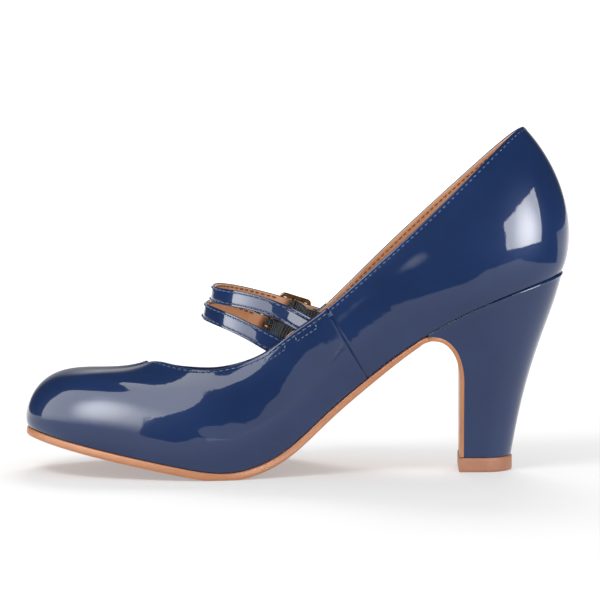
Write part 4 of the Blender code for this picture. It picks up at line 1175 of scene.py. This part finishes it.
def make_prong(name, middle, axes):
    """Pin hooked under the middle bar, up through the strap's slot to rest over the end bar."""
    forward, _, normal = axes
    clear = BUCKLE_PLATE / 2 + GAP + PRONG_RADIUS
    side = BUCKLE_BAR / 2 + GAP + PRONG_RADIUS
    rail = BUCKLE_LENGTH / 2
    flat = np.array(
        [
            (side * 1.15, clear * 0.2),
            (side * 0.85, -clear * 0.9),
            (0.0, -clear * 1.25),
            (-side * 0.95, -clear * 0.8),
            (-side * 1.35, clear * 0.35),
            (-rail * 0.60, clear * 1.25),
            (-rail * 0.80, clear * 1.20),
            (-rail - BUCKLE_RAIL * 0.25, clear * 1.15),
        ]
    )
    flat = resample(flat, flat, 0.0002)[0]
    route = middle + flat[:, :1] * forward + flat[:, 1:] * normal
    run = along(route)
    left = np.minimum(run, run[-1] - run)
    taper = np.sqrt(np.clip(1 - (1 - np.clip(left / PRONG_RADIUS, 0.08, 1)) ** 2, 0, 1))
    ahead = unit(np.gradient(route, axis=0))
    side = unit(np.cross(ahead, np.array([0.31, 0.17, 0.93])))
    points, faces = loft(rings_round(route, side, np.cross(ahead, side), PRONG_RADIUS * taper, 12))
    new_mesh(f"prong_{name}", points, faces, brass, "brass", ["buckle_prong_" + name], sharp=60)


# Stitches


STITCH_PLACES = np.array([-0.37, -0.32, -0.22, 0.0, 0.22, 0.32, 0.37])
STITCH_HEIGHTS = np.array([-1.5, -0.2, 0.75, 1.0, 0.75, -0.2, -1.5])
STITCH_GIRTHS = np.array([0.45, 0.85, 1.0, 1.08, 1.0, 0.85, 0.45])
HOLE_FACES = [(0, 1 + k, 1 + (k + 1) % 8) for k in range(8)]
HOLE_FACES += [(1 + k, 9 + k, 9 + (k + 1) % 8, 1 + (k + 1) % 8) for k in range(8)]


def sew(name, path, normals, thread, slot, pitch=STITCH_PITCH, holes=True, radius=THREAD):
    """A row of single stitches along a path: each dips into a needle hole at both ends, drawn as a near-black
    disc that paints the shade inside the hole.
    """
    run = along(path)
    count = max(1, int(round(run[-1] / pitch)))
    length = run[-1] / count
    stitches = []
    for i in range(count):
        at = (i + 0.5) * length + STITCH_PLACES * length
        line = read_along(at, run, path)
        up = unit(read_along(at, run, normals))
        side = unit(np.cross(unit(np.gradient(line, axis=0)), up))
        line = line + up * (STITCH_HEIGHTS * radius + STITCH_LIFT)[:, None]
        stitches.append(loft(rings_round(line, side, up, STITCH_GIRTHS * radius, 8)))
    new_mesh(name, *joined(stitches), thread, slot)
    if not holes:
        return
    # each hole is a near-black disc on the surface, painted shade of the needle hole's inside
    turn = circle(8)[:, None]
    spots = []
    for i in range(count + 1):
        spot = read_along(i * length, run, path)
        up = unit(read_along(i * length, run, normals))
        side = unit(np.cross(up, np.array([0.3, 0.2, 0.9])))
        ring = side * np.cos(turn) + np.cross(up, side) * np.sin(turn)
        points = [spot + ring * reach + up * rise for reach, rise in HOLE_RINGS]
        spots.append((np.vstack([spot + up * HOLE_TOP, *points]), HOLE_FACES))
    new_mesh(name + "_holes", *joined(spots), hole_painted_shade, slot)


def skin_path(s, distance, inside=False):
    """A line on the upper at a distance below the topline, for places s, with its normals."""
    s = np.asarray(s, float)
    distance = np.broadcast_to(distance, len(s))
    t = (1 - distance / topline_speed(s))[:, None]
    points, normals = outer_points(s, t)[:, 0], outer_normals(s, t)[:, 0]
    if inside:
        return points - normals * WALL, -normals
    return points + normals * (SEAM_STEP * on_vamp(s)[:, None] - 0.00008), normals


def sew_upper():
    seam = 0.0009
    for label, side in (("medial", 1), ("lateral", -1)):
        s = side * np.linspace(0.0022, SEAM_AT - seam, 250)
        sew(f"stitches_vamp_{label}", *skin_path(s, TOP_ROW), navy_thread_painted_sheen, "patent")
    s = np.linspace(SEAM_AT + seam, AROUND - SEAM_AT - seam, 500)
    sew("stitches_quarter_topline", *skin_path(s, TOP_ROW), navy_thread_painted_sheen, "patent")
    s = np.linspace(0, AROUND, 900)
    sew("stitches_lining", *skin_path(s, TOP_ROW, inside=True), brown_thread, "lining", holes=False)
    for name, inner, outer, *_ in STRAPS:
        for side, share in ((-1, inner), (1, outer)):
            box_stitches(name, side, share)
    tack_stitches()


def box_stitches(name, side, share):
    """The U of stitches that holds a strap's end inside the wall."""
    label = "medial" if side < 0 else "lateral"
    first, last = (topline_at(share + reach, side)[1] for reach in BOX_REACH)
    run, ones = np.linspace(0, 1, 40), np.ones(40)
    shallow, fall = TOP_ROW + 0.0003, BOX_DEPTH - TOP_ROW - 0.0003
    s = np.concatenate([first * ones, first + (last - first) * run, last * ones])
    distance = np.concatenate([shallow + fall * run, BOX_DEPTH * ones, BOX_DEPTH - fall * run])
    sew(f"stitches_box_{name}_{label}", *skin_path(s, distance), navy_thread_painted_sheen, "patent", pitch=BOX_PITCH)


def tack_stitches():
    """Short stitches across the top of each side seam."""
    for label, centre in (("medial", SEAM_AT), ("lateral", AROUND - SEAM_AT)):
        for i, distance in enumerate((0.0019, 0.0024, 0.0029)):
            s = centre + np.linspace(-TACK_REACH, TACK_REACH, 20)
            path, normals = skin_path(s, distance)
            single = {"pitch": 2 * TACK_REACH, "holes": False, "radius": 0.00022}
            sew(f"tack_{label}_{i}", path + normals * 0.0002, normals, navy_thread_painted_sheen, "patent", **single)


def sew_strap(name, route, lean, ahead, row, scale):
    _, wide, out = frame_along(route, lean)
    arch = ahead < -BUCKLE_LENGTH / 2 - 0.001
    arch[:int(STRAP_TUCK / STRAP_STEP)] = False
    for tag, keep in (("arch", arch), ("tail", ahead > BUCKLE_LENGTH / 2 + 0.0004)):
        for side_tag, side in (("upper", 1), ("lower", -1)):
            label = f"stitches_{name}_{tag}_{side_tag}"
            up = out[keep]
            path = route[keep] + wide[keep] * (row * side * scale[keep])[:, None]
            sew(label, path + up * (STRAP_THICKNESS / 2 - 0.00004), up, navy_thread_painted_sheen, "patent_strap")
            under = path - up * (STRAP_THICKNESS / 2)
            sew(label + "_back", under, -up, brown_thread, "lining", holes=False)


# Stage


def floor_material():
    """Matt white that glows a little, more with distance, so that the floor ends as white as the room."""
    n = material_nodes("white_floor")
    n.set(Base_Color=(0.34, 0.34, 0.34, 1), Emission_Color=(1, 1, 1, 1))
    n.set(Roughness=0.8, Specular_IOR_Level=0.0)
    apart = n.add("VectorMath", operation="LENGTH")
    n.join(n.add("NewGeometry"), "Position", apart, 0)
    shine = n.map_range(apart, "Value", 0.35, 0.80, 0.16, 0.75, "SMOOTHSTEP")
    n.join(shine, "Result", n.shader, "Emission Strength")
    return n.owner


def stage_face(name, points, material):
    """A flat face of the stage, from its corners."""
    made = new_object(name, points, [tuple(range(len(points)))], mend=False)
    made.data.materials.append(material)
    return made


def aim(azimuth, elevation):
    """Direction from the shoe: azimuth from the camera's side towards the heel, elevation above the floor."""
    a, e = math.radians(azimuth), math.radians(elevation)
    return Vector((math.sin(a) * math.cos(e), -math.cos(a) * math.cos(e), math.sin(e)))


def glow(name, radiance, lamp=0.0, place=None, reach=1.0, through=True):
    """Glowing cloth, brighter by lamp at place. See-through cloth adds its light to what lies behind it."""
    n = material_nodes(name)
    n.tree.nodes.remove(n.shader)
    surface = n.add("Emission", Strength=radiance)
    if place is not None:
        position = n.add("NewGeometry")
        apart = n.add("VectorMath", operation="DISTANCE")
        apart.inputs[1].default_value = place
        n.join(position, "Position", apart, 0)
        split = n.add("SeparateXYZ")
        n.join(position, "Position", split, "Vector")
        product = n.add("Math", operation="MULTIPLY")
        fall = n.map_range(apart, "Value", radiance + lamp, radiance, 0.0, reach, "SMOOTHERSTEP")
        n.join(fall, "Result", product, 0)
        n.join(n.map_range(split, "Z", 0.25, 1.0, *FADE_FOOT, "SMOOTHSTEP"), "Result", product, 1)
        n.join(product, "Value", surface, "Strength")
    if through:
        both = n.add("AddShader")
        n.join(surface, "Emission", both, 0)
        n.join(n.add("BsdfTransparent"), "BSDF", both, 1)
        surface = both
    n.join(surface, 0, n.tree.nodes["Material Output"], "Surface")
    return n.owner


def softbox(name, heart, distance, corners, radiance, lamp=0.0, centre=None, reach=1.0):
    """A glowing panel through directions from a point of the shoe, seen only in reflections."""
    heart = Vector(heart)
    place = None if centre is None else heart + aim(*centre) * distance
    material = glow(name, radiance, lamp, place, reach)
    return hide(stage_face(name, [heart + aim(*corner) * distance for corner in corners], material))


def make_world():
    """White room for camera and soft light. In reflections it is dark, and bright behind the shoe."""
    world = bpy.data.worlds.new("studio")
    bpy.context.scene.world = world
    n = Nodes(world)
    background = n.tree.nodes["Background"]
    split = n.add("SeparateXYZ")
    n.join(n.add("TexCoord"), "Generated", split, "Vector")
    behind = n.map_range(split, "Y", 0.03, 0.42, 0.84, 0.985, "SMOOTHSTEP")
    mix = n.add("Mix", data_type="FLOAT", A=1.05)
    n.join(n.add("LightPath"), "Is Glossy Ray", mix, "Factor")
    n.join(behind, "Result", mix, "B")
    n.join(mix, "Result", background, "Strength")
    background.inputs["Color"].default_value = (1, 1, 1, 1)


FLOOR_EDGE = (
    (-6.0, -0.17), (-0.10, -0.155), (-0.066, -0.145), (-0.045, -0.190), (0.020, -0.235), (0.046, -0.220),
    (0.060, -0.180), (0.085, -0.235), (0.13, -0.36), (0.20, -0.41), (0.34, -0.42), (0.34, 0.05), (6.0, 0.30),
)
FLOOR_CARD = (
    (-0.066, -0.145), (-0.052, -0.20), (-0.035, -0.33), (-0.015, -0.50), (0.010, -0.50), (0.035, -0.38),
    (0.050, -0.26), (0.058, -0.220), (0.062, -0.180), (0.046, -0.220), (0.020, -0.235), (-0.045, -0.190),
)
LEFT_PLAN = ((-0.47, 0.02), (-0.50, -0.15), (-0.40, -0.36))
LEFT_EDGE = (
    (-0.212, -0.465, -0.060), (-0.212, -0.465, -0.030), (-0.190, -0.468, 0.050), (-0.178, -0.470, 0.090),
    (-0.160, -0.474, 0.153), (-0.106, -0.482, 0.254), (-0.066, -0.490, 0.360),
)
OVER_EDGE = (
    (-0.066, -0.490), (-0.040, -0.400), (-0.034, -0.316), (-0.048, -0.199), (-0.060, -0.120),
    (-0.064, -0.040), (-0.068, 0.012), (-0.075, 0.034), (-0.086, 0.054), (-0.099, 0.062),
    (-0.111, 0.040), (-0.112, -0.020), (-0.110, -0.090), (-0.122, -0.150), (-0.156, -0.182),
    (-0.234, -0.158), (-0.306, -0.098), (-0.402, -0.006), (-0.47, 0.02),
)


FADE_FOOT = (-0.06, 0.07)  # heights between which a softbox's lower edge fades in
STRAP_HEART = (-0.020, -0.021, 0.073)
STRAP_FOOT = (-0.001, -0.025, 0.067)
COUNTER = (0.095, -0.025, 0.105)
WAIST = (-0.012, -0.033, 0.034)
QUARTER = (0.045, -0.028, 0.088)
LEFT_LAMP = (-0.307, -0.392, 0.1765)
LEFT_FOOT, LEFT_TOP = -0.06, 0.36
FLOOR_LEVEL = -0.0001
KEY_POWER = 16
CAMERA_PLACE = (0.0, -2.5817103, 0.3778503)
CAMERA_TARGET = (0.0, 0.0, 0.07)
FIELD = 5.548942  # degrees
SHIFT = (0.00395, 0.0046)
FLOOR_HALF, FLOOR_DEEP = 6, 9
WAIST_CARD = ((12, -13), (3, -1), (1.5, 4.5), (5, 8.5), (12, 9), (17, 7.5), (22, 9), (29, 3), (75, -14))


def hide(panel):
    """Keeps a panel out of sight and out of the soft light, so that only reflections show it."""
    panel.visible_camera = False
    panel.visible_diffuse = False
    panel.visible_shadow = False
    return panel


def make_stage():
    white = floor_material()
    edge = [(x, y, FLOOR_LEVEL) for x, y in FLOOR_EDGE]
    back = [(x, FLOOR_DEEP, FLOOR_LEVEL) for x in (FLOOR_HALF, -FLOOR_HALF)]
    front = [(x, -FLOOR_DEEP, FLOOR_LEVEL) for x in (-FLOOR_HALF, FLOOR_HALF)]
    floor = [stage_face("floor", edge + back, white), stage_face("floor_front", edge[::-1] + front, white)]
    floor[1].visible_glossy = False
    cloth = glow("softbox_left", 3.9, 8.0, Vector(LEFT_LAMP), 0.26, through=False)
    walls = []
    for near, far in zip(LEFT_PLAN, LEFT_PLAN[1:]):
        walls.append([(*near, LEFT_FOOT), (*far, LEFT_FOOT), (*far, LEFT_TOP), (*near, LEFT_TOP)])
    walls.append([(*far, LEFT_FOOT), *LEFT_EDGE, (*far, LEFT_TOP)])
    panels = [hide(stage_face(f"softbox_left_{i}", wall, cloth)) for i, wall in enumerate(walls)]
    run = along(np.array(OVER_EDGE))
    over = cubic(run, OVER_EDGE, np.linspace(0, run[-1], 120))
    over = [(*place, LEFT_TOP) for place in (*over, *LEFT_PLAN[1:])]
    panels.append(hide(stage_face("softbox_over", over, cloth)))
    straps = [bpy.data.objects[f"strap_{row[0]}_patent"] for row in STRAPS]
    for panel in panels:
        link_light(panel, straps, "EXCLUDE")
    quad = ((-69, -16), (-15, -16), (-13, 44), (-69, 44))
    link_light(softbox("card_straps", STRAP_HEART, 0.33, quad, 4.8, 7.0, (-56, 10), 0.2), straps, "INCLUDE")
    quad = ((-6, -18), (3, -18), (3, 6), (-6, 6))
    link_light(softbox("card_strap_foot", STRAP_FOOT, 0.33, quad, 8.0), straps[:1], "INCLUDE")
    vamp, quarters = ([bpy.data.objects[name]] for name in ("vamp", "quarters"))
    quad = ((19, -6), (60, -5), (62, 25), (15, 7))
    link_light(softbox("softbox_right", COUNTER, 0.6, quad, 8.0, 11.0, (40, 3), 0.24), vamp, "EXCLUDE")
    link_light(softbox("card_waist", WAIST, 0.5, WAIST_CARD, 0.95), vamp, "INCLUDE")
    quad = ((-9, -4), (-3, -12), (1, -5), (-4, 1))
    link_light(softbox("card_streak", QUARTER, 0.6, quad, 0.0, 2.0, (-4, -5), 0.055), quarters, "INCLUDE")
    low = stage_face("card_floor", [(x, y, 0.0) for x, y in FLOOR_CARD], glow("card_floor", 1.0))
    link_light(hide(low), vamp, "INCLUDE")
    make_keys(floor)
    make_world()


def make_keys(floor):
    """Two soft lights on the floor alone: they throw the shoe's shadow to the right and a little forwards."""
    for name, place in (("key_front", (-0.60, -0.75, 1.35)), ("key_back", (0.10, 1.00, 1.10))):
        data = bpy.data.lights.new(name, "AREA")
        data.shape = "RECTANGLE"
        data.size, data.size_y = 0.7, 0.5
        data.energy = KEY_POWER
        key = bpy.data.objects.new(name, data)
        bpy.context.scene.collection.objects.link(key)
        point(key, place)
        key.visible_glossy = False
        key.visible_camera = False
        link_light(key, floor, "INCLUDE")


def point(thing, place, target=(0.0, 0.0, 0.0)):
    """Puts a lamp or camera at its place, turned to the target."""
    thing.location = place
    thing.rotation_mode = "QUATERNION"
    thing.rotation_quaternion = (Vector(target) - thing.location).to_track_quat("-Z", "Y")


def link_light(light, pieces, state):
    """Keeps a light off some pieces, or on those pieces alone."""
    group = bpy.data.collections.new(light.name + "_on")
    for piece in pieces:
        group.objects.link(piece)
    for entry in group.collection_objects:
        entry.light_linking.link_state = state
    light.light_linking.receiver_collection = group


def make_camera():
    data = bpy.data.cameras.new("camera")
    camera = bpy.data.objects.new("camera", data)
    bpy.context.scene.collection.objects.link(camera)
    point(camera, CAMERA_PLACE, CAMERA_TARGET)
    data.sensor_width = 36.0
    data.angle = math.radians(FIELD)
    data.shift_x, data.shift_y = SHIFT
    data.clip_start, data.clip_end = 0.05, 60.0
    bpy.context.scene.camera = camera


make_vamp()
make_quarters()
make_lining()
make_insole()
make_sole()
make_heel()
make_top_piece()
for strap in STRAPS:
    make_strap(strap)
sew_upper()
make_stage()
make_camera()
bpy.context.scene.view_settings.view_transform = "Standard"
